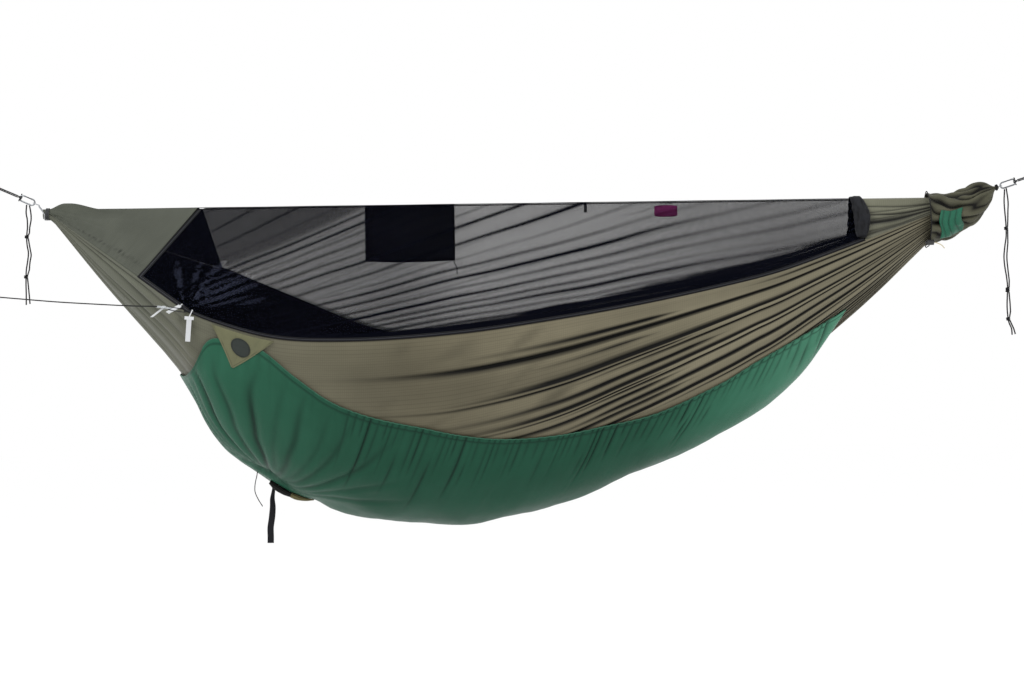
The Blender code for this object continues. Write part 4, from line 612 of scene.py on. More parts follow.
def bodyRowPoint(x, row):
    side, a, b, t = row
    q = a["at"] + (b["at"] - a["at"]) * t
    sway = bodyFolds["sway"] * lumps(x * 1.6, q * 5, side * 2.0) * sin(pi * q)
    v = wrapShare(min(max(q + sway, 0), 1), x)
    point, normal = wrapPoint(x, side * v), wrapNormal(x, side * v)
    if q == 0:
        point = point - Vector((0, 0, bodyFolds["rimDrop"]))
    inside = min(max(x, 0), tent["span"])
    girth = halfGirth(side, inside)
    gap = girth * abs(wrapShare(a["at"], inside) - wrapShare(b["at"], inside))
    near = a if t < 0.5 else b
    away = tent["span"] - x
    fade = 1 - smoothstep(near["reach"] * 0.6, near["reach"], away)
    if near["start"] > 0:
        fade *= smoothstep(near["start"] - 0.08, near["start"] + 0.08, away)
    amount = min(near["deep"] * (0.35 + 0.65 * fade), gap * 0.42) * fade
    amount *= smoothstep(*bodyFolds["room"], gap)
    sharp = smoothstep(*bodyFolds["sharp"], x)
    swing = abs(sin(pi * t))
    deep = amount * (1 - swing ** (1.5 - 0.95 * sharp))
    strength = min(1.15, near["deep"] / 0.010) ** 0.8 * fade ** 0.7 * (0.55 + 0.45 * sharp)
    clear = smoothstep(*bodyFolds["clear"], gap)
    strength *= clear if near["start"] < 0 else smoothstep(*bodyFolds["shortClear"], gap)
    wide = (0.0012 + 0.40 * near["deep"] * fade) * (3.5 - 2.3 * sharp)
    beside = min(t, 1 - t) * gap
    # Painted shade in the crease valleys, and a plain painted shade where creases lie too close to
    # show
    dark = min(1, 1.8 * strength * exp(-(beside / min(wide, gap * 0.30 + 0.0002)) ** 2))
    dark = max(dark, 0.42 * (1 - clear) * fade)
    # Broad soft folds of the middle, and short ones under the rim, each with painted shade
    broad = max(0, lumps(x * 1.3, q * 11 + 2, side * 5.0)) * smoothstep(0.55, 1.0, x)
    short = lumps(x * 7, q * 26 + x * 9, side * 6.0) * smoothstep(0.42, 0.2, q)
    short *= smoothstep(0.8, 1.1, x) * smoothstep(2.3, 1.8, x)
    deep += (bodyFolds["broad"] * broad + bodyFolds["short"] * short) * min(1, gap * 60)
    dark = max(dark, 0.62 * broad, 0.5 * max(0, short))
    # Softer folds from the left gather, with painted shade in them
    left = 1 - smoothstep(*bodyFolds["left"], x)
    if left > 0:
        turn = v * 7.5 + 0.9 * lumps(x * 3, v * 6, 7)
        bend = 1 - abs(sin(pi * turn)) ** 0.9
        amountLeft = min(bodyFolds["leftDeep"], girth * 0.034) * left * (1 - v ** 30)
        deep += amountLeft * bend
        dark = max(dark, 0.42 * left * bend ** 2)
    rim = min(1, q / 0.02)
    ripple = bodyFolds["ripple"] * lumps(x * 5, v * 22, side * 3.0)
    ripple += bodyFolds["fineRipple"] * lumps(x * 14, v * 30, side * 4.0)
    deep += bodyFolds["stand"] + ripple * min(1, girth * 3)
    return point - normal * (deep * rim), dark * rim


def makeBody():
    low, high = -tent["neck"], tent["span"] + tent["neck"]

    def pointAt(u, v):
        return bodyRowPoint(low + (high - low) * u, allRows[round(v * (len(allRows) - 1))])

    body = clothGrid("bodyCloth", (bodyFolds["columns"], len(allRows) - 1), (3.35, 1.5), pointAt,
                     [cloth["bodyCloth"], cloth["insidePaintedShade"]], bodyFolds["thick"], -1, 1, True)
    dress(body, "canopy", "body_fabric", "hammock_body")


makeBody()
print("body made:", len(allRows), "rows")


# The insulated cover

coverRows = {
    # Share of the ridge and how far up the body the hem lies
    "hem": [(0.150, 0.30), (0.170, 0.62), (0.186, 0.86), (0.205, 0.925), (0.238, 0.935),
            (0.276, 0.83), (0.309, 0.74), (0.341, 0.69), (0.414, 0.63), (0.485, 0.56),
            (0.583, 0.50), (0.650, 0.45), (0.723, 0.48), (0.770, 0.52), (0.861, 0.42)],
    # Share of the cover's length and how far its middle hangs away from the body
    "loft": [(0, 0), (0.025, 0.14), (0.0445, 0.36), (0.082, 0.74), (0.133, 0.81), (0.263, 0.90),
             (0.394, 1.00), (0.586, 0.80), (0.684, 0.68), (0.782, 0.68), (0.900, 0.61),
             (0.965, 0.42), (1, 0)],
    "start": 0.150, "keelStart": 0.142, "end": 0.860, "keelEnd": 0.834, "tieRow": 0.023,
    "backRow": 0.0445, "hemGap": 0.0034, "hang": 0.076, "thick": 0.003, "lean": 0.15,
    "leftColumns": 84, "rows": 132, "closure": (0.69, -0.14), "foldsFrom": 0.255, "foldsTo": 0.975,
    # Long waves and soft lumps of the padding, the stitch line inside the hem, the least stand-off
    "waves": 6, "waveDeep": 0.007, "soft": 0.007, "fineSoft": 0.0018, "stitchIn": 0.010,
    "stitchWide": 0.0022, "stitchDeep": 0.0007, "least": 0.0046}


def coverShare(s, w):
    bend = abs(w) ** 1.5
    knots = [(0, coverRows["keelStart"] + (coverRows["start"] - coverRows["keelStart"]) * bend),
             (coverRows["tieRow"], tent["tieX"] / tent["span"]),
             (coverRows["backRow"], tent["backX"] / tent["span"]),
             (1, coverRows["keelEnd"] + (coverRows["end"] - coverRows["keelEnd"]) * bend)]
    for (s0, low), (s1, high) in zip(knots, knots[1:]):
        if s <= s1 or s1 == 1:
            return low + (high - low) * (s - s0) / (s1 - s0)


def makeFolds():
    # Folds of the cover that hang from its hem: place along it, depth, and how far down they run
    chance = random.Random(11)
    folds, at = [], coverRows["foldsFrom"]
    while at < coverRows["foldsTo"]:
        long = chance.random() < 0.26
        folds.append({
            "at": at,
            "deep": chance.uniform(0.003, 0.007) if long else chance.uniform(0.001, 0.0026),
            "down": chance.uniform(0.30, 0.75) if long else chance.uniform(0.12, 0.46),
            "from": chance.choice((0.0, 0.0, 0.12, 0.2)) if long else 0.0})
        at += chance.uniform(0.0065, 0.016)
    return folds


coverFolds = makeFolds()
foldColumns = [coverRows["foldsFrom"] * k / coverRows["leftColumns"]
               for k in range(coverRows["leftColumns"])]
foldPlaces = [None] * len(foldColumns)
for one, after in zip(coverFolds, coverFolds[1:] + [{"at": 1.0}]):
    for share in (0, 0.22, 0.5, 0.78):
        foldColumns.append(one["at"] + (after["at"] - one["at"]) * share)
        foldPlaces.append((one, after, share))
foldColumns.append(1.0)
foldPlaces.append(None)
# Turn about the closure in degrees, and depth
fanTurns = [(-60, 0.006), (-49, 0.005), (-41, 0.010), (-31, 0.005), (-24, 0.013), (-13, 0.008),
            (-4, 0.012), (3, 0.004), (9, 0.008), (17, 0.004), (24, 0.006), (37, 0.007), (50, 0.004),
            (64, 0.004)]


def coverBase(s, w):
    # The cover's place along the ridge and round the body, its normal, stand-off and swell
    lean = coverRows["lean"] * smoothstep(0.14, 0.32, s) * (1 - smoothstep(0.88, 1.0, s))
    lean *= 1 - abs(w)
    reach = splineRow(coverRows["hem"], coverShare(s, 1))[0]
    x, v = coverShare(s, w) * tent["span"] - lean, w * reach
    swell = splineRow(coverRows["loft"], s)[0] * (1 - abs(w) ** 2.6)
    return x, v, wrapNormal(x, v), coverRows["hemGap"] + coverRows["hang"] * swell, swell


def coverPoint(s, w, fold=None):
    x, v, normal, offset, swell = coverBase(s, w)
    side = abs(w)
    depth, dark = 0.0, 0.0
    # Painted shade in the hanging folds, the frilled hem and the hem's puckers
    if fold:
        one, after, share = fold
        near = one if share < 0.5 or "deep" not in after else after
        bend = 1 - sin(pi * share) ** 0.8
        down = 1 - side
        fade = smoothstep(near["from"] - 0.10, near["from"] + 0.12, down) if near["from"] > 0 else 1
        fade *= 1 - smoothstep(near["down"] * 0.45, near["down"], down)
        depth -= near["deep"] * fade * bend
        dark = min(0.85, 0.2 + near["deep"] / 0.008) * fade * bend ** 1.5
        hem = exp(-down / 0.07)
        frill = smoothstep(0.5, 0.7, s)
        depth -= (0.0026 + 0.0030 * frill) * hem * bend
        dark = max(dark, (0.5 + 0.4 * frill) * hem * bend ** 2)
    else:
        hem = exp(-(1 - side) / 0.08)
        pucker = lumps(s * 130, 3 + w, side)
        depth += 0.0020 * hem * pucker
        dark = 0.6 * hem * max(0, -pucker)
    # Folds that fan out of the drawn closure, with painted shade in them
    left = 1 - smoothstep(0.93, 1.12, x)
    if left > 0:
        across = (abs(v) - abs(coverRows["closure"][1])) * 1.05
        along = x - coverRows["closure"][0]
        far = hypot(along, across)
        turn = degrees(atan2(along, across)) + 5 * lumps(x * 4, v * 4, 2)
        ring = smoothstep(0.015, 0.07, far) * (1 - smoothstep(0.45, 0.85, far)) * (1 - side ** 8)
        for at, deep in fanTurns:
            gap = abs(turn - at) * pi / 180 * max(far, 0.05) / (0.009 + far * 0.012)
            if gap < 4:
                depth -= deep * left * ring * exp(-gap * gap)
                dark = max(dark, deep / 0.012 * 0.85 * left * ring * exp(-(gap * 1.8) ** 2))
    wave = (cos(2 * pi * coverRows["waves"] * (s + 0.03 * sin(5 * w))) - 1) / 2
    soft = coverRows["soft"] * lumps(x * 8, v * 6, 1.5)
    soft += coverRows["fineSoft"] * lumps(x * 30, v * 9, 4)
    ends = smoothstep(0, 0.03, s) * (1 - smoothstep(0.975, 1, s))
    fromHem = (1 - side) * halfGirth(-1, min(max(x, 0.3), 2.5)) * 0.6
    seam = exp(-((fromHem - coverRows["stitchIn"]) / coverRows["stitchWide"]) ** 2) if w < 0 else 0
    room = offset + coverRows["waveDeep"] * wave * swell + (depth + soft * swell) * ends
    room += coverRows["thick"] - coverRows["stitchDeep"] * seam
    dark = max(dark * ends, 0.62 * seam)
    return wrapPoint(x, v) + normal * max(room, coverRows["least"]), dark


def makeCover():
    count = len(foldColumns) - 1

    def pointAt(u, v):
        k = round(u * count)
        w = 2 * v - 1
        return coverPoint(foldColumns[k], copysign(1 - (1 - abs(w)) ** 1.45, w), foldPlaces[k])

    cover = clothGrid("cover", (count, coverRows["rows"]), (2.35, 1.45), pointAt,
                      [cloth["coverCloth"], cloth["coverLining"]], coverRows["thick"], -1, 1, True)
    dress(cover, "canopy", "cover_fabric", "underlayer")
    for name, side, node in (("coverHemFront", -1, "underlayer_hem_front"),
                             ("coverHemBack", 1, "underlayer_hem_back")):
        points = [coverPoint(s, side, fold)[0] - coverBase(s, side)[2] * 0.0012
                  for s, fold in zip(foldColumns, foldPlaces) if coverRows["backRow"] <= s <= 0.99]
        hem = cordTube(name, points, 0.0036, [cord["green"]], 8)
        dress(hem, "canopy", "cover_fabric", node)


makeCover()
print("cover made:", len(coverFolds), "folds")


def coverRow(share, w):
    # The cover's s where w crosses a place along the ridge
    low, high = 0.0, 1.0
    for _ in range(24):
        middle = (low + high) / 2
        if coverBase(middle, w)[0] < share * tent["span"]:
            low = middle
        else:
            high = middle
    return low


def onCover(share, v, lift):
    # A point above the cover's outside
    s, w = coverRow(share, 1), 1
    for _ in range(8):
        w = min(1, abs(v) / splineRow(coverRows["hem"], coverShare(s, 1))[0])
        s = coverRow(share, w)
    x, turn, normal, _, _ = coverBase(s, -w)
    room = (coverPoint(s, -w)[0] - wrapPoint(x, turn)).dot(normal)
    x = share * tent["span"]
    return wrapPoint(x, v) + wrapNormal(x, v) * (room + lift)


# Bug net, panels and seams between the ridge and the body's rim

ridgeSide = tent["tape"] / 2 + 0.0007


def stations():
    # Places along the ridge, close enough together that a seam follows the body's rim
    corners = [tent["tieX"], tent["backX"], tent["cuffMiddle"]]
    even = [tent["tieX"] + (tent["cuffMiddle"] - tent["tieX"]) * k / 90 for k in range(1, 90)]
    return sorted([x for x in even if abs(x - tent["backX"]) > 0.006] + corners)


def seamPath(side):
    corner = tent["tieX"] if side < 0 else tent["backX"]
    share = tent["netCorner"] if side < 0 else tent["backCorner"]
    path = [place(tent["panelTop"], 0, 0), rimPoint(side, corner * share)]
    path += [rimPoint(side, x) for x in stations() if corner * 0.999 < x < tent["cuffMiddle"] * 1.001]
    if side < 0:
        a, b, c = path[1:4]
        run = (b - a).normalized() * 0.008
        path[2:3] = [a + run, b - run, b, b + (c - b).normalized() * 0.008]
    return path


def seamFrames(path):
    inward, normal = [], []
    for k, (a, b) in enumerate(zip(path, path[1:])):
        run = (b - a).normalized()
        x = a.x + tent["panelTop"] if k == 0 else (a.x + b.x) / 2
        goal = Vector((x, 0, -tent["leftRise"])) - b
        face = run.cross(goal).normalized()
        normal.append(face)
        inward.append(face.cross(run).normalized())
    mitres = [(a + b) / (1 + a.dot(b)) for a, b in zip(inward, inward[1:])]
    faces = [(a + b).normalized() for a, b in zip(normal, normal[1:])]
    return inward[:1] + mitres + inward[-1:], normal[:1] + faces + normal[-1:]


def netColumns(side):
    path = seamPath(side)
    mitres, _ = seamFrames(path)
    band = tent["seam"] * 3 + (tent["zipTape"] * 2 + tent["chain"] if side < 0 else tent["binding"])
    base = [p + m * band for p, m in zip(path[1:], mitres[1:])]
    run = (path[0] - path[1]).normalized()
    topY = side * ridgeSide
    firstTop = base[0] + run * ((topY - base[0].y) / run.y)
    last = tent["leftReach"] + tent["cuffMiddle"] - tent["seam"]
    tops = [firstTop]
    for p in path[2:]:
        share = (p.x - path[1].x) / (path[-1].x - path[1].x)
        tops.append(Vector((firstTop.x + (last - firstTop.x) * share, topY, -tent["leftRise"])))
    return base, tops


netCreases = {
    "pivot": (-0.40, -0.615), "columns": 230, "rows": 150, "deep": 0.0018, "wide": 0.13,
    # turn about the tie-out corner and strength of a painted highlight streak
    "fan": [(14, 0.10), (26, 0.22), (37, 0.28), (50, 0.20), (64, 0.28), (84, 0.14), (112, 0.18)],
    # turn about the pivot in degrees, and strength
    "lines": [(8.3, 0.5), (8.9, 0.6), (9.5, 0.7), (10.2, 1.0), (10.8, 0.5), (11.6, 1.0), (12.4, 0.7),
              (13.4, 1.0), (14.4, 0.6), (15.3, 0.35), (16.8, 1.0), (18.5, 0.8), (19.6, 0.35),
              (20.9, 0.8), (22.0, 0.4), (23.0, 0.7), (24.1, 0.8), (26.2, 0.3), (28.5, 0.4),
              (31.5, 0.3), (35, 0.35), (39, 0.3), (44, 0.35)]}


def netShade(point, side):
    # Crease depth and closeness of the net at a place
    far, rise = (point.x - tent["leftReach"] - netCreases["pivot"][0],
                 point.z + tent["leftRise"] - netCreases["pivot"][1])
    turn = degrees(atan2(rise, far))
    turn += 0.55 * lumps(point.x * 1.6, point.z * 1.5, side * 3.0) - 0.9 * (far - 1.6) * (turn > 15)
    deep, dark = 0.0, 0.0
    for k, (at, strength) in enumerate(netCreases["lines"]):
        gap = abs(turn - at) / netCreases["wide"]
        if gap < 9:
            power = strength * (0.72 + 0.28 * sin(k * 1.9 + point.x * 4))
            deep += netCreases["deep"] * power * exp(-gap / 2.2)
            dark = max(dark, 0.62 * power * exp(-gap ** 2) + 0.10 * power * exp(-gap / 3))
    return turn, deep, dark


def makeNet(name, side, node):
    base, tops = netColumns(side)
    fanCorner = rimPoint(-1, tent["tieX"])
    reach = reaches(base)

    def column(u):
        goal = u * reach[-1]
        k = min(max(bisect.bisect_right(reach, goal) - 1, 0), len(base) - 2)
        t = (goal - reach[k]) / (reach[k + 1] - reach[k])
        return base[k].lerp(base[k + 1], t), tops[k].lerp(tops[k + 1], t)

    def pointAt(u, v):
        low, top = column(u)
        point = low.lerp(top, v)
        inset = (sin(pi * v) ** 0.5 * smoothstep(0, 0.06, u)
                 * (1 - smoothstep(0.94, 1, u)))
        turn, deep, dark = netShade(point, side)
        x = point.x - tent["leftReach"]
        bunch = exp(-v * (9 + 5 * sin(x * 5))) * smoothstep(0.9, 1.6, x) * 0.5
        plain = smoothstep(1.55, 2.1, x)
        ragged = 0.5 + 0.5 * lumps(x * 9, 3, side * 2.0)
        band = 0.022 + 0.15 * smoothstep(1.0, 2.4, x)
        band += (0.02 + 0.03 * smoothstep(1.0, 2.0, x)) * ragged
        streaks = 0.75 + 0.5 * lumps(x * 2, v * 60, side * 3.0)
        hem = smoothstep(band * 1.3, band * 0.7, v) * smoothstep(0.5, 0.9, x)
        bunch = max(bunch, 1.7 * streaks * hem)
        closer = 0.20 * smoothstep(24.3, 25.2, turn) * (x < 1.6) + 0.07 * plain
        closer += 0.12 * (1 - smoothstep(1.0, 1.3, x))
        dark *= 1 - 0.72 * plain
        deep *= 1 - 0.72 * plain
        # Painted highlight: streaks that fan from the tie-out corner on the front net, kept as
        # negative shade
        if side < 0:
            away = point - fanCorner
            spread = degrees(atan2(away.z, away.x))
            for at, light in netCreases["fan"]:
                bend = 3 * lumps(away.length * 7, at, 1) - 60 * away.length ** 2
                near = exp(-abs((spread - at - bend) / 4.2) ** 1.5)
                streak = light * near * smoothstep(0.02, 0.09, away.length)
                streak *= 1 - smoothstep(0.14, 0.30, away.length)
                if streak > max(dark, 0.02):
                    dark = -streak
        soft = lumps(point.x * 6, point.z * 9, side * 5.0) * 0.004
        out = Vector((0, side * 0.67, 0.74))
        share = 0.4 if side > 0 else 1.0
        if dark < 0:
            return point + out * (soft * inset), dark - 0.2
        return point + out * ((soft - deep) * inset), (dark * share + 0.5 * bunch + closer) * share

    net = clothGrid(name, (netCreases["columns"], netCreases["rows"]), (reach[-1], 0.62), pointAt,
                    [cloth["net"]], 0.0005, 0)
    dress(net, "canopy", "net_mesh", node)


def makePanel(name, side, node):
    path = seamPath(side)
    mitres, _ = seamFrames(path)
    outward = -mitres[0].normalized() * tent["seam"]
    topEnd, lowEnd = path[0] + outward, path[1] + outward
    run = (lowEnd - topEnd).normalized()
    topEnd = topEnd + run * (tent["tape"] * 0.9)
    topY = side * ridgeSide
    topEnd = Vector((topEnd.x, topY, -tent["leftRise"]))
    lowEnd = lowEnd - run * tent["seam"]
    topStart, lowStart = place(0, topY, 0), rimPoint(side, 0)
    size = 0.45

    def pointAt(u, v):
        x = -0.044 + 1.044 * u
        if x < 0:
            low, top = rimPoint(side, x * 0.454), place(x * 0.454, topY, 0)
        else:
            low, top = lowStart.lerp(lowEnd, x), topStart.lerp(topEnd, x)
        point = low.lerp(top, 0.001 + 0.998 * v)
        near = exp(-v * 9)
        pucker = lumps(x * 30, v * 3, side * 2.0) * 0.0045 * near
        fan = sin(34 * sqrt(v + 0.02) + 3 * lumps(x * 3, v * 4, 2)) * 0.0025
        inset = sin(pi * v) ** 0.4 * smoothstep(0, 0.08, x) * (1 - smoothstep(0.93, 1, x))
        out = Vector((0, side * 0.6, 0.8))
        fan *= exp(-x * 3) * smoothstep(0, 0.15, v)
        # Painted shade in the puckers, along a ragged crease line and under the hump
        dark = near * max(0, -lumps(x * 30, v * 3, side * 2.0)) * 1.6
        ragged = lumps(x * 46, v * 8, side * 3.0)
        line = exp(-((v - 0.13 - 0.02 * ragged) / 0.035) ** 2) * smoothstep(0.12, 0.3, x)
        dark = max(dark, 1.5 * line * max(0, ragged + 0.18))
        far = max(0, x) * tent["panelTop"]
        hump = smoothstep(-0.01, 0.045, far) * (1 - smoothstep(0.06, 0.16, far)) * v ** 3
        point = point + Vector((0, -point.y * 0.85 * hump, 0.019 * hump))
        shadow = smoothstep(0.05, 0.15, far) * (1 - smoothstep(0.15, 0.22, far))
        dark = max(dark, 0.35 * shadow * v ** 6)
        return point + out * ((pucker - 0.003 * line * ragged + fan) * inset), min(1, dark) * inset

    panel = clothGrid(name, (110, 70), (size, size * 0.6), pointAt,
                      [cloth["panelCloth"], cloth["insidePaintedShade"]], 0.0009, 0, 1, side > 0)
    dress(panel, "canopy", "panel_fabric", node)


footFolds = [(0.05, 0.008), (0.13, 0.020), (0.25, 0.010), (0.43, 0.022), (0.52, 0.007), (0.62, 0.014),
             (0.71, 0.006), (0.80, 0.009)]


def footCrease(t, x, girth):
    # Depth of the foot panel's creases and the painted shade in them
    depth, dark = 0.0, 0.0
    for at, deep in footFolds:
        gap = abs(t - at - 0.03 * sin(x * 14 + at * 30)) * girth / 0.0045
        amount = min(deep, girth * 0.05)
        wide = 0.55 + (60 + 260 * smoothstep(0.06, 0.14, girth)) * max(0, deep - 0.013)
        depth += amount * exp(-gap / (1 + wide * 0.4))
        dark = max(dark, min(1, deep / 0.008) * exp(-(gap / wide) ** 2))
    return depth, dark


def makeFootPanel():
    start, end = tent["cuffMiddle"] + tent["seam"], tent["span"] + tent["neck"]

    def pointAt(u, v):
        x = start + (end - start) * u
        side = -1 if v < 0.5 else 1
        t = 1 - abs(2 * v - 1)
        rim = rimPoint(side, x) + Vector((0, 0, tent["seam"]))
        top = place(x, side * ridgeSide, 0)
        point = rim.lerp(top, t)
        girth = (rim - top).length
        deep, dark = footCrease(t, x, girth)
        inset = sin(pi * t) ** 0.4
        inward = Vector((0, -side * 0.5, -0.85))
        bag = 0.010 * sin(pi * min(1, u * 1.1)) * inset * min(1, girth * 8)
        return point + inward * (deep * inset + bag), dark * inset

    panel = clothGrid("footPanel", (90, 96), (0.36, 0.6), pointAt,
                      [cloth["footCloth"], cloth["insidePaintedShade"]], 0.0009, 0, 1)
    dress(panel, "canopy", "panel_fabric", "foot_panel")


makeNet("netFront", -1, "bug_net_front")
makeNet("netBack", 1, "bug_net_back")
makePanel("headPanelFront", -1, "head_panel_front")
makePanel("headPanelBack", 1, "head_panel_back")
makeFootPanel()
print("nets and panels made")


# Tapes along the seams and the ridge

def sweep(name, points, frames, profile, materials):
    # A closed profile of (across, up) pairs carried along points with (across, up) frames
    ring, rows = len(profile), len(points) - 1
    reach, around = reaches(points), reaches([Vector(p) for p in profile + profile[:1]])
    work = bmesh.new()
    flat = work.loops.layers.uv.new("cloth")
    bmesh.ops.create_grid(work, x_segments=ring, y_segments=rows, size=0.5, calc_uvs=False)
    for vert in work.verts:
        j, k = round((vert.co.x + 0.5) * ring), round((vert.co.y + 0.5) * rows)
        for loop in vert.link_loops:
            loop[flat].uv = (around[j], reach[k])
        across, up = frames[k]
        vert.co = points[k] + across * profile[j % ring][0] + up * profile[j % ring][1]
    bmesh.ops.remove_doubles(work, verts=work.verts, dist=1e-6)
    bmesh.ops.holes_fill(work, edges=work.edges, sides=ring + 1)
    bmesh.ops.recalc_face_normals(work, faces=work.faces)
    return finishMesh(name, work, materials, 50)


def flatProfile(wide, thick):
    # A webbing's section: flat faces and round edges
    half, edge = wide / 2, thick / 2
    return [(-half + edge, -edge), (0, -edge * 1.05), (half - edge, -edge), (half, 0),
            (half - edge, edge), (0, edge * 1.05), (-half + edge, edge), (-half, 0)]


def seamTape(name, side, near, far, thick, look, *nodes):
    path = seamPath(side)
    mitres, faces = seamFrames(path)
    path[0] = path[0] + (path[1] - path[0]).normalized() * 0.011
    points = [p + m * ((near + far) / 2) for p, m in zip(path, mitres)]
    section = flatProfile(far - near, thick)
    tape = sweep(name, points, list(zip(mitres, faces)), section, [cloth[look]])
    dress(tape, "canopy", "black_tape", *nodes)


teeth = tent["seam"] + tent["zipTape"]
beyond = teeth + tent["chain"]
seamTape("zipTapeLower", -1, -0.0022, teeth, 0.0016, "blackTape", "zip_tape_lower")
seamTape("zipTapeUpper", -1, beyond, beyond + tent["zipTape"] + 0.0012, 0.0013, "blackTape",
         "zip_tape_upper")
seamTape("zipChain", -1, teeth - 0.0004, beyond + 0.0004, 0.0012, "zipTeeth")
seamTape("backBinding", 1, -0.0022, tent["seam"] + tent["binding"] + 0.0010, 0.0014, "blackTape",
         "edge_binding_back")


def makeRidge():
    steps, start = 120, -tent["neck"]
    points = []
    for k in range(steps + 1):
        x = start + (tent["cuffMiddle"] - start) * k / steps
        points.append(place(x, 0.0004 * sin(x * 31), 0.0003 + 0.0002 * sin(x * 17)))
    frames = [(Vector((0, 1, 0)), Vector((0, 0, 1)))] * len(points)
    section = flatProfile(tent["tape"] + 0.0016, 0.0014)
    tape = sweep("ridgeTape", points, frames, section, [cloth["blackTape"]])
    dress(tape, "canopy", "black_tape", "ridge_tape")


makeRidge()


def makeCuff():
    # The net's bunched right end: a soft roll with folds along it
    settings = {"wide": tent["cuffWidth"], "high": 0.013, "room": 0.0019, "along": 70, "around": 26}

    def pointAt(u, v):
        t = (u - 0.5) * 2
        side = -1 if t < 0 else 1
        t = abs(t) * 0.96
        rim, top = rimPoint(side, tent["cuffMiddle"]), place(tent["cuffMiddle"], side * ridgeSide, 0)
        slope = (rim - top).normalized()
        out = Vector((0, -slope.z * side, slope.y * side)).normalized()
        out = out.lerp(Vector((0, 0, 1)), max(0, 1 - t * 9) * 0.75).normalized()
        turn = pi * 2 * v
        high = 0.007 + (settings["high"] - 0.007) * min(1, t * 2.2)
        fold = lumps(cos(turn) * 3.4, sin(turn) * 3.4, t * 3.0 * side)
        fine = lumps(cos(turn) * 6, sin(turn) * 6, t * 9 * side + 7)
        size = 1 + 0.26 * fold + 0.16 * fine
        wide = settings["wide"] / 2 * (1 - 0.14 * t) * size
        if cos(turn) > 0:
            wide *= max(0.25, 1 - (2 * t / 0.96 - 1) ** 2 * 0.85)
        rise = high * (0.5 + 0.5 * sin(turn) * size)
        wave = 0.003 * lumps(t * 6, side * 3.0, 2)
        point = top.lerp(rim, t) + out * (settings["room"] + rise)
        point = point + Vector((wide * cos(turn) + wave, 0, 0))
        # Painted shade in the roll's hollows
        return point, min(1, max(0, -fold) * 1.3 + max(0, -fine) * 0.9)

    cuff = clothGrid("netCuff", (settings["along"], settings["around"]), (0.7, 0.1), pointAt,
                     [cloth["cuffNet"]])
    closeUp(cuff, 1e-5, 60)
    dress(cuff, "canopy", "cuff_mesh", "net_cuff")


makeCuff()
print("seams, ridge and cuff made")


# Cords: the suspension, the tails, the line and the small ones

def declareCord(thing, slot, node, body="canopy"):
    dress(thing, body, slot, node)


def blackLine(name, points, width, node, sides=12, body="canopy"):
    tube = cordTube(name, points, width, [cord["black"]], sides)
    declareCord(tube, "black_cord", node, body)


slingRoutes = {
    "left": [
        (0.1436, 0, -0.065), (0.1002, 0, -0.046), (0.0432, 0, -0.0211), (0.0132, 0, -0.0148),
        (0.0053, 0, -0.0126), (0.0001, 0, -0.0068), (0, 0, 0), (0.005, 0, 0.0045),
        (0.0129, 0, 0.0047), (0.0198, 0, 0.0004), (0.0448, 0, -0.0174), (0.1018, 0, -0.0424),
        (0.1452, 0, -0.0613)],
    "right": [
        (3.1436, 0, -0.0593), (3.1787, 0, -0.0481), (3.2149, 0, -0.0365), (3.2454, 0, -0.0334),
        (3.2534, 0, -0.032), (3.2592, 0, -0.0267), (3.26, 0, -0.02), (3.2554, 0, -0.015),
        (3.2477, 0, -0.014), (3.2403, 0, -0.0176), (3.2137, 0, -0.0327), (3.1775, 0, -0.0443),
        (3.1424, 0, -0.0555)]}
for name, route in slingRoutes.items():
    blackLine(name + "Sling", smoothRoute(route, 0.0035), 0.0036, name + "_sling")

tails = {
    "left": {
        "front": [(0.1705, -0.0036, -0.0885), (0.169, -0.0055, -0.113), (0.1718, -0.004, -0.133),
                  (0.1718, -0.002, -0.156), (0.17, -0.002, -0.173), (0.169, -0.0022, -0.195),
                  (0.1705, -0.002, -0.213), (0.1735, -0.0018, -0.233), (0.1712, -0.0022, -0.256),
                  (0.1668, -0.003, -0.284), (0.1655, -0.002, -0.306), (0.165, -0.0024, -0.329),
                  (0.1655, -0.003, -0.356), (0.165, -0.003, -0.389)],
        "back": [[(0.179, -0.003, -0.091), (0.183, -0.0055, -0.113), (0.1832, -0.003, -0.133),
                  (0.1785, -0.0008, -0.156), (0.1772, -0.0008, -0.173)],
                 [(0.179, -0.001, -0.223), (0.1815, -0.0012, -0.24), (0.1778, -0.001, -0.26),
                  (0.1752, -0.0004, -0.284)],
                 [(0.1738, -0.001, -0.356), (0.176, -0.001, -0.386)]],
        "knots": [(-0.18, 2), (-0.3, 2)]},
    "right": {
        "front": [(3.1034, -0.003, -0.0832), (3.101, -0.006, -0.12), (3.1028, -0.005, -0.15),
                  (3.105, -0.004, -0.175), (3.1064, -0.003, -0.201), (3.106, -0.003, -0.227),
                  (3.1022, -0.0024, -0.253), (3.099, -0.0022, -0.285), (3.101, -0.0022, -0.315),
                  (3.106, -0.0026, -0.348), (3.1085, -0.0028, -0.379), (3.1072, -0.003, -0.402),
                  (3.1062, -0.003, -0.44), (3.11, -0.003, -0.479), (3.118, -0.0032, -0.5),
                  (3.12, -0.0032, -0.52)],
        "back": [[(3.1086, -0.0022, -0.0803), (3.113, -0.005, -0.12), (3.1125, -0.003, -0.15),
                  (3.1122, -0.0012, -0.175)],
                 [(3.1115, -0.0006, -0.244), (3.108, -0.0004, -0.285), (3.1105, -0.0004, -0.322),
                  (3.114, -0.0008, -0.356)],
                 [(3.1155, -0.0008, -0.425), (3.1165, -0.0008, -0.45)],
                 [(3.1255, -0.001, -0.502), (3.13, -0.001, -0.518)]],
        "knots": [(-0.196, 2), (-0.378, 3), (-0.468, 2)]}}


def levelPoint(points, z):
    for a, b in zip(points, points[1:]):
        if (a.z - z) * (b.z - z) <= 0 and a.z != b.z:
            return a.lerp(b, (a.z - z) / (a.z - b.z))
    return points[-1].copy()


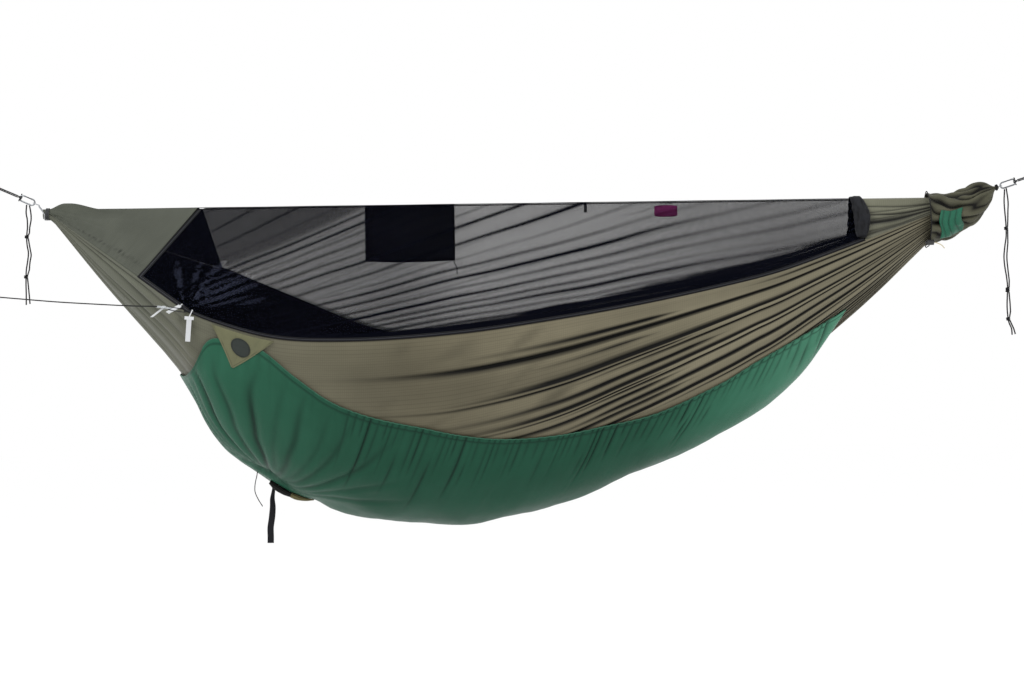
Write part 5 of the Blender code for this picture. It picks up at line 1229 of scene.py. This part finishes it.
def makeTail(name, tail):
    # Two hanging strands: one plain, one that winds round it for each knot
    wide, steps = 0.0042, 14
    away = wide + 0.0004
    plain = smoothRoute(tail["front"], wide)
    blackLine(name + "TailFront", plain, wide, name + "_tail_front")
    wound, ahead, aside = [], Vector((1, 0, 0)), Vector((0, 1, 0))
    for stretch, knot in zip(tail["back"], tail["knots"] + [None]):
        wound += smoothRoute(stretch, wide)
        if knot:
            top, turns = knot
            wound += coil(turns, steps, away, lambda share: (
                levelPoint(plain, top - away * turns * share), ahead, aside))
    blackLine(name + "TailBack", wound, wide, name + "_tail_back")


for name, tail in tails.items():
    makeTail(name, tail)

looseCords = [
    ("tieoutLine", "tieout_line", 0.0034, "taut", "canopy", [
        (0.624, -0.507, -0.4065), (0.6, -0.514, -0.4055), (0.55, -0.53, -0.404),
        (0.46, -0.568, -0.3985), (0.36, -0.614, -0.3915), (0.26, -0.662, -0.382),
        (0.19, -0.7, -0.375), (0.15, -0.727, -0.37), (0.125, -0.752, -0.368),
        (0.106, -0.766, -0.3665), (0.093, -0.76, -0.3655), (0.097, -0.745, -0.365),
        (0.115, -0.734, -0.3655), (0.138, -0.726, -0.3662)]),
    ("pocketCord", "pocket_cord", 0.0026, "hanging", "pocket", [
        (1.4495, -0.006, -0.2743), (1.4502, -0.006, -0.28), (1.456, -0.004, -0.29),
        (1.4585, -0.002, -0.302), (1.4578, 0, -0.314)]),
    ("coverDrawcord", "underlayer_drawcord", 0.0026, "hanging", "canopy", [
        (0.862, -0.115, -0.8929), (0.86, -0.116, -0.906), (0.8575, -0.119, -0.917),
        (0.8545, -0.121, -0.935), (0.855, -0.12, -0.954), (0.864, -0.117, -0.976),
        (0.876, -0.115, -0.996)])]
for name, node, width, lay, body, route in looseCords:
    blackLine(name, smoothRoute(route, width), width, node, 10, body)
print("cords made")


# Suspension: loops, hitches and bindings

def makeLoop(side, gatherX, reach, rise, way, loopReach, turns):
    gather = place(gatherX, 0, 0)
    along = Vector((way * reach, 0, rise)).normalized()
    up = Vector((-along.z * way, 0, along.x * way))

    def spot(u, y, w):
        return gather + along * u + Vector((0, y, 0)) + up * w

    # The neck's radius and drop, the binding's pitch, and the bend round the carabiner's bar
    neck, drop, pitch, bend = 0.0172, 0.01296, 0.00364, 0.0042
    hitch = {"turn": 55, "ahead": 0.015, "arm": 0.0087, "radius": 0.0045}
    middle = loopReach + 0.018
    bar = middle - 0.0237
    seat = 0.006 + (pitch * turns + 0.006) / 2 + 0.0004
    knots = [spot(bar + bend * cos(a), bend * sin(a), 0)
             for a in [pi * k / 12 - pi / 2 for k in range(13)]]
    run = [(bar - 0.00874, bend / 2, 0), (bar - 0.01472, bend / 2, 0),
           ((bar + seat) / 2, neck * 0.45, -neck * 0.25)]
    knots += [spot(*point) for point in run]
    under = Vector((gather.x + way * seat, 0, gather.z - drop))
    knots += [under + Vector((0, neck * cos(pi * k / 8), -neck * sin(pi * k / 8)))
              for k in range(9)]
    knots += [spot(u, -y, w) for u, y, w in reversed(run)]
    points = smoothRoute(knots + knots[:1], 0.003)
    loop = cordTube(side + "Loop", points[:-1], 0.003, [cord["grey"]], 12, True)
    declareCord(loop, "grey_cord", side + "_loop")

    # Hitch of the sling round the carabiner's outer end
    def hitchAt(share):
        a = radians(hitch["turn"]) * (1 - 2 * share)
        out = along * cos(a) + up * sin(a)
        axis = along * sin(a) - up * cos(a)
        return spot(middle + hitch["ahead"], 0, 0) + out * hitch["arm"], out, axis.cross(out)

    wound = coil(2, 24, hitch["radius"], hitchAt)
    tied = cordTube(side + "Hitch", wound, 0.0036, [cord["black"]])
    dress(tied, "canopy", "black_cord", side + "_hitch")

    # Binding wound round the gathered neck
    centre = place(gatherX, 0, -drop) + Vector((way * 0.006, 0, 0))
    wound = coil(turns, 24, neck, lambda share: (
        centre + Vector((way * pitch * turns * (share - 0.5), 0, 0)), Vector((0, 0, -1)),
        Vector((0, 1, 0))))
    binding = cordTube(side + "Binding", wound, 0.003, [cord["binding"]])
    dress(binding, "canopy", "binding_cord", side + "_gather_binding")


makeLoop("left", 0, 0.240, 0.105, -1, 0.056, 3)
makeLoop("right", tent["span"], 0.266, 0.085, 1, 0.108, 2)


def makeRidgeline():
    drop, seat, end = 0.0039, 0.0024, tent["span"]
    knots = [(-0.010, seat), (0.036, seat), (0.096, drop)]
    knots += [(0.096 + (end - 0.192) * k / 8, drop) for k in range(1, 8)]
    knots += [(end - 0.096, drop), (end - 0.036, seat), (end + 0.010, seat)]
    points = smoothRoute([place(x, 0, -z) for x, z in knots], 0.012)
    blackLine("ridgeCord", points, 0.003, "ridgeline", 10)


makeRidgeline()


# Hard pieces: each solid's own shape, with its edges eased

def easedPiece(name, node, material, body, slot, soften=0.0003):
    work = bmesh.new()
    work.from_mesh(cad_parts[node].data)
    bmesh.ops.remove_doubles(work, verts=work.verts, dist=1e-6)
    bmesh.ops.dissolve_limit(work, angle_limit=0.02, verts=work.verts, edges=work.edges)
    piece = finishMesh(name, work, [material], angle=32)
    if soften:
        ease = piece.modifiers.new("eased", "BEVEL")
        ease.width, ease.segments, ease.limit_method = soften, 2, "ANGLE"
        ease.angle_limit = radians(40)
        ease.use_clamp_overlap = True
    dress(piece, body, slot, node)


for side in ("left", "right"):
    whole = side + "_carabiner_"
    easedPiece(side + "Carabiner", whole + "body", hard["alloy"], "canopy", "alloy")
    easedPiece(side + "Gate", whole + "gate", hard["gateAlloy"], side + "_gate", "gate_alloy")
    easedPiece(side + "Pin", whole + "pin", hard["pinSteel"], "canopy", "pin_steel", 0.0001)
for k in ("1", "2"):
    slider, pull = "slider_" + k, "pull_" + k
    easedPiece("slider" + k, "zip_" + slider, hard["sliderMetal"], slider, "slider_metal", 0.0002)
    easedPiece("pull" + k, "zip_" + pull, cloth["tagCloth"], pull, "tag_webbing", 0.0002)
for name, node, look, body, slot, soften in (
        ("tieoutTag", "tieout_tag", cloth["tagCloth"], "tag", "tag_webbing", 0.0002),
        ("tieoutLoop", "tieout_loop", cloth["strapCloth"], "canopy", "black_tape", 0.0002),
        ("tieoutHook", "tieout_hook", hard["clearPlastic"], "canopy", "hook_plastic", 0),
        ("lockBody", "cord_lock_body", hard["blackPlastic"], "canopy", "black_plastic", 0),
        ("lockPlunger", "cord_lock_plunger", hard["plungerPlastic"], "plunger", "plunger_plastic",
         0.0003),
        ("ridgeToggle", "ridge_toggle", hard["blackPlastic"], "toggle", "black_plastic", 0.0005)):
    easedPiece(name, node, look, body, slot, soften)
print("suspension and hard pieces made")


# The pocket and the pouch on the ridgeline

pocketSize = {"start": 0.945, "long": 0.267, "deep": 0.164, "half": 0.0028, "line": -0.0039}


def pocketPoint(u, v):
    # One cloth: from the front mouth down, round the bottom, up the back and over the ridgeline
    x = pocketSize["start"] + pocketSize["long"] * u
    deep = pocketSize["deep"] + 0.004 * sin(pi * u)
    wide, line = pocketSize["half"], pocketSize["line"]
    sag = 0.0035 * sin(pi * u)
    puff = 0.0068 * sin(pi * u) ** 0.5
    wave = 0.0016 * lumps(x * 24, v * 7, 1)
    section = [
        (0.0, -wide - 0.0005, line - 0.030 - sag), (0.06, -wide - 0.0012, line - 0.034 - sag),
        (0.40, -wide - puff, line - deep * 0.72),
        (0.47, -wide * 0.6 - puff * 0.5, line - deep * 0.97), (0.50, 0.0, line - deep),
        (0.53, wide * 0.9, line - deep * 0.975),
        (0.60, wide, line - deep * 0.8), (0.93, wide, line - 0.004),
        (0.955, wide * 0.75, line + 0.0020), (0.975, 0.0, line + 0.0030),
        (1.0, -wide * 0.95, line - 0.0008)]
    y, z = splineRow(section, v)
    return place(x + 0.002 * sin(v * 9) * (1 - abs(2 * u - 1)), y + wave * sin(pi * u), z), 0.0


pocket = clothGrid("pocket", (52, 110), (0.267, 0.345), pocketPoint, [cloth["pocketCloth"]],
                   0.0008, 0)
dress(pocket, "pocket", "pocket_fabric", "ridge_pocket")
hem = [pocketPoint(k / 24, 0.0)[0] + Vector((0, -0.0003, 0)) for k in range(25)]
mouth = cordTube("pocketMouth", hem, 0.0024, [cloth["blackTape"]], 8)
dress(mouth, "pocket", "pocket_fabric")
for u in (0.0, 1.0):
    edge = [pocketPoint(u, k / 60)[0] for k in range(2, 57)]
    side = cordTube("pocketEdge" + str(int(u)), edge, 0.0022, [cloth["blackTape"]], 8)
    dress(side, "pocket", "pocket_fabric")


def makePouch():
    settings = {"middle": (1.847, 0, -0.0290), "size": (0.0345, 0.0155, 0.0172), "voxel": 0.0022,
                "cap": 0.003, "seamStart": 1.812, "seamLong": 0.070, "seamDrop": 0.0135,
                "channelStart": 1.828, "channelLong": 0.038, "channelRadius": 0.0032}
    work = bmesh.new()
    bmesh.ops.create_cube(work, size=2)
    bmesh.ops.subdivide_edges(work, edges=work.edges, cuts=14, use_grid_fill=True)
    for vert in work.verts:
        x, y, z = vert.co
        pinch = 1 - 0.55 * abs(x) ** 6
        crown = 1 - 0.30 * z * z - 0.18 * x * x
        fold = 1 + 0.05 * lumps(x * 3, z * 3, y) + 0.02 * lumps(x * 9, z * 9, y)
        vert.co = Vector((x * settings["size"][0], y * settings["size"][1] * pinch * crown * fold,
                          z * settings["size"][2] * (1 - 0.16 * abs(x) ** 4)))
    bmesh.ops.translate(work, verts=work.verts, vec=place(*settings["middle"]))
    pouch = finishMesh("pouch", work, [cloth["pouchCloth"]])
    inflate(pouch, settings["voxel"], settings["cap"])
    fine = pouch.modifiers.new("fine", "SUBSURF")
    fine.levels = fine.render_levels = 1
    dress(pouch, "pouch", "pouch_fabric", "ridge_pouch")
    top = [place(settings["seamStart"] + settings["seamLong"] * k / 20, 0,
                 -settings["seamDrop"] - 0.0012 * abs(k / 10 - 1) ** 3) for k in range(21)]
    seam = cordTube("pouchSeam", top, 0.0016, [cloth["blackTape"]], 8)
    ringed = coil(3, 20, settings["channelRadius"], lambda share: (
        place(settings["channelStart"] + settings["channelLong"] * share, 0, pocketSize["line"]),
        Vector((0, 0, 1)), Vector((0, 1, 0))))
    channel = cordTube("pouchChannel", ringed, 0.0014, [cloth["blackTape"]], 8)
    for piece in (seam, channel):
        dress(piece, "pouch", "pouch_fabric")


def inflate(piece, voxel, cap):
    # A short simulation swells the pad, then each point's movement is held under the cap
    bpy.context.view_layer.objects.active = piece
    piece.select_set(True)
    remesh = piece.modifiers.new("remesh", "REMESH")
    remesh.mode, remesh.voxel_size = "VOXEL", voxel
    bpy.ops.object.modifier_apply(modifier="remesh")
    before = [vert.co.copy() for vert in piece.data.vertices]
    air = piece.modifiers.new("air", "CLOTH")
    air.settings.use_pressure = True
    air.settings.uniform_pressure_force = 4
    air.settings.effector_weights.gravity = 0
    for step in range(1, 21):
        scene.frame_set(step)
    bpy.ops.object.modifier_apply(modifier="air")
    scene.frame_set(1)
    for vert, start in zip(piece.data.vertices, before):
        move = vert.co - start
        if move.length > cap:
            vert.co = start + move.normalized() * cap
    piece.data.shade_smooth()
    piece.select_set(False)


makePouch()
print("pocket and pouch made")


# The storage sack

# Place from the right gather, height of the middle and radius, in tenths of a metre
sackRows = [(-1.24, -0.690, 0.800), (-1.10, -0.660, 0.760), (-0.90, -0.620, 0.740),
            (-0.64, -0.600, 0.700), (-0.30, -0.440, 0.640), (0.02, -0.300, 0.590),
            (0.34, -0.060, 0.500), (0.60, 0.130, 0.300), (0.80, 0.256, 0.057), (0.91, 0.291, 0.053)]
sackMouth, sackEnd, sackScale = sackRows[0][0], sackRows[-1][0], 0.1
sackLean = atan2(tent["rightRise"], tent["rightReach"])


def sackPoint(row, turn, extra=0.0):
    height, radius = splineRow(sackRows, row)
    lump = 1 + 0.040 * sin(3 * turn + row * 4) + 0.025 * sin(7 * turn - row * 6)
    lump = 1 + (lump - 1) * smoothstep(0.1, 0.3, radius)
    lean = sackLean * min(1, max(0, (row + 0.6) / 1.2))
    out = Vector((-sin(lean) * cos(turn), sin(turn), cos(lean) * cos(turn)))
    middle = place(tent["span"] + row * sackScale, 0, height * sackScale)
    return middle + out * (radius * sackScale * lump + extra)


def makeSack():
    settings = {"cells": (96, 150), "thick": 0.0012, "folds": 12, "deep": 0.0135}

    def pointAt(u, v):
        row, turn = sackMouth + (sackEnd - sackMouth) * u, 2 * pi * (1 - v)
        radius = splineRow(sackRows, row)[1] * sackScale
        slant = turn * settings["folds"] / (2 * pi) + row * 1.5
        slant += 0.8 * lumps(cos(turn) * 1.6, sin(turn) * 1.6, row * 0.9)
        ridge = 1 - abs(sin(pi * slant)) ** 0.75
        cross = lumps(cos(turn + row * 0.6) * 3.6, sin(turn + row * 0.6) * 3.6, row + 9)
        room = min(settings["deep"], radius * 0.20)
        inner = smoothstep(sackMouth, -1.02, row) * smoothstep(0.85, 0.62, row) if row < 0.62 else 0.6
        depth = room * (0.85 * ridge + 0.55 * max(0, -cross)) * (0.25 + 0.75 * inner)
        rise = 0.0042 * max(0, cross) * min(1, radius * 25)
        # Painted shade in the sack's folds
        dark = min(1, (1.3 * ridge ** 1.8 + 1.1 * max(0, -cross))) * min(1, radius * 22 + 0.4)
        return sackPoint(row, turn, rise - depth), dark

    sack = clothGrid("sack", settings["cells"], (0.42, 0.47), pointAt,
                     [cloth["sackCloth"], cloth["sackInside"]], settings["thick"], -1, 1, True)
    dress(sack, "canopy", "sack_fabric", "storage_sack")


makeSack()


def makeLining():
    def pointAt(u, v):
        along, turn = -0.95 + 0.66 * u + 0.04 * sin(7 * v), radians(220 + 66 * v - 8 * u)
        swell = sin(pi * u) ** 0.6 * sin(pi * v) ** 0.6
        fold = lumps(u * 3.2 + v * 4, v * 3, 4)
        crease = 1 - abs(sin(pi * (u * 3.4 + v * 0.9 + 0.3 * sin(v * 5)))) ** 0.8
        lift = 0.0026 + (0.0085 + 0.004 * fold - 0.005 * crease) * swell
        # Painted shade in the lining's crease
        return sackPoint(along, turn, lift), 0.8 * crease ** 2

    fold = clothGrid("liningFold", (44, 44), (0.10, 0.12), pointAt, [cloth["liningCloth"]], 0.001, 0)
    dress(fold, "canopy", "cover_fabric", "sack_lining_fold")


makeLining()


def makeSackCords():
    axis, centre = Vector((cos(sackLean), 0, sin(sackLean))), place(tent["span"] + 0.0855, 0, 0.02735)
    start = Vector((0, -1, 0))
    wound = coil(2, 24, 0.0079, lambda share: (
        centre + axis * (0.0072 * (share - 0.5)), start, axis.cross(start)))
    neck = cordTube("sackNeckCord", wound, 0.003, [cord["black"]])
    points = [sackPoint(sackMouth, 2 * pi * k / 90, 0.0030) for k in range(91)]
    mouth = cordTube("sackMouthCord", points[:-1], 0.0028, [cord["black"]], 10, True)
    for piece, node in ((neck, "sack_neck_cord"), (mouth, "sack_mouth_cord")):
        dress(piece, "canopy", "black_cord", node)
    turn = radians(222)
    normal = Vector((0, sin(turn), cos(turn)))
    spot = sackPoint(sackMouth, turn, 0.0046) + normal * 0.005 + Vector((0.0116, 0, 0))
    knots = [spot] + [spot + Vector(step) for step in ((0.010, -0.001, -0.003), (0.022, 0, -0.009),
                                                       (0.030, 0.001, -0.018))]
    points = smoothRoute(knots, 0.0028)
    end = cordTube("sackCordEnd", points, 0.0028, [cord["beige"]], 10)
    declareCord(end, "beige_cord", "sack_cord_end")


makeSackCords()
print("sack made")


# Patches, closure and strap on the cover

def makePatches():
    # Places along the ridge and round the body: the triangle's corners, the disc's middle and radii
    tips = [(0.192, -0.985), (0.256, -0.985), (0.213, -0.80)]
    middle, radii = (0.2215, -0.915), (0.0097, 0.0435)

    def corner(u, v):
        t = 0.03 + 0.97 * v
        share, turn = (low + t * ((1 - u) * a + u * b - low) for a, b, low in zip(*tips))
        edge = min(u, 1 - u, (1 - t) * 2, t) * 40
        lift = 0.0014 * lumps(share * 60, turn * 20, 1) * min(1, edge)
        stitch = 0.55 * exp(-((min(u * t, (1 - u) * t) * 0.176 - 0.006) / 0.0011) ** 2)
        return onCover(share, turn, 0.0012 + abs(lift)), stitch

    def disc(u, v):
        a, b = u * 2 - 1, v * 2 - 1
        x, y = a * sqrt(1 - b * b / 2), b * sqrt(1 - a * a / 2)
        rim = exp(-((1 - hypot(x, y) - 0.10) / 0.035) ** 2)
        lift = 0.0036 + 0.0004 * (1 - x * x - y * y)
        share, turn = (m + part * r for m, part, r in zip(middle, (x, y), radii))
        return onCover(share, turn, lift), 0.5 * rim

    for name, cells, size, pointAt, look, node, slot in (
            ("cornerPatch", (32, 26), (0.176, 0.11), corner, "patchCloth", "corner_patch",
             "patch_fabric"),
            ("roundPatch", (18, 18), (0.052, 0.052), disc, "roundCloth", "round_patch",
             "round_patch_fabric")):
        patch = clothGrid(name, cells, size, pointAt, [cloth[look]], 0.0012, 0)
        dress(patch, "canopy", slot, node)


makePatches()


def closureSpot(along, lift):
    w = coverRows["closure"][1]
    s = coverRow(along / tent["span"], w)
    spot = coverPoint(s, w)[0]
    across = (coverPoint(s, w + 0.02)[0] - coverPoint(s, w - 0.02)[0]).normalized()
    run = coverPoint(s + 0.01, w)[0] - coverPoint(s - 0.01, w)[0]
    out = across.cross(run).normalized()
    return spot + out * lift, out, across


def makeClosure(name, start, length, sizes, look, node, slot, puckers):
    spots = []
    for k in range(len(sizes) * 4 - 3):
        t = k / (len(sizes) * 4 - 4)
        size = splineRow([(n / (len(sizes) - 1), value) for n, value in enumerate(sizes)], t)[0]
        half = 0.012 * size
        spots.append((closureSpot(start + length * t, half * 0.7 + 0.0008), half))

    def pointAt(u, v):
        (spot, out, across), half = spots[round(u * (len(spots) - 1))]
        turn = 2 * pi * v
        fold = 1 + 0.13 * abs(sin(turn * puckers / 2 + 2 * u)) + 0.08 * lumps(u * 5, v * 9, 1)
        # Painted shade between the puckers
        dark = 0.7 * (1 - abs(sin(turn * puckers / 2 + 2 * u))) ** 2
        return spot + (across * cos(turn) + out * (0.7 * sin(turn))) * half * fold, dark

    piece = clothGrid(name, (len(spots) - 1, 64), (length, 0.06), pointAt, [cloth[look]])
    closeUp(piece, 1e-6, 70)
    dress(piece, "canopy", slot, node)


for closurePart in (
        ("closureSleeve", coverRows["closure"][0], 0.0575, (0.62, 0.95, 1, 0.94, 0.80),
         "closureCloth", "closure_sleeve", "closure_fabric", 9),
        ("closureTip", 0.7478, 0.058, (0.82, 0.88, 0.70, 0.46, 0.16), "tipCloth", "closure_tip",
         "tip_fabric", 7)):
    makeClosure(*closurePart)


def makeStrap():
    route = [(0.906, -0.07, -0.9314), (0.9045, -0.0705, -0.952), (0.9012, -0.072, -0.975),
             (0.902, -0.073, -1.001), (0.899, -0.072, -1.033), (0.8945, -0.07, -1.062),
             (0.8945, -0.07, -1.088), (0.894, -0.069, -1.108)]
    points = smoothRoute(route, 0.004)
    frames = []
    for k in range(len(points)):
        turn = radians(80) * (1 - min(1, 1.6 * k / (len(points) - 1)))
        frames.append((Vector((cos(turn), sin(turn), 0)), Vector((-sin(turn), cos(turn), 0))))
    section = flatProfile(0.019, 0.0014)
    strap = sweep("compressionStrap", points, frames, section, [cloth["strapCloth"]])
    declareCord(strap, "black_tape", "compression_strap")


makeStrap()
print("patches, closure and strap made")
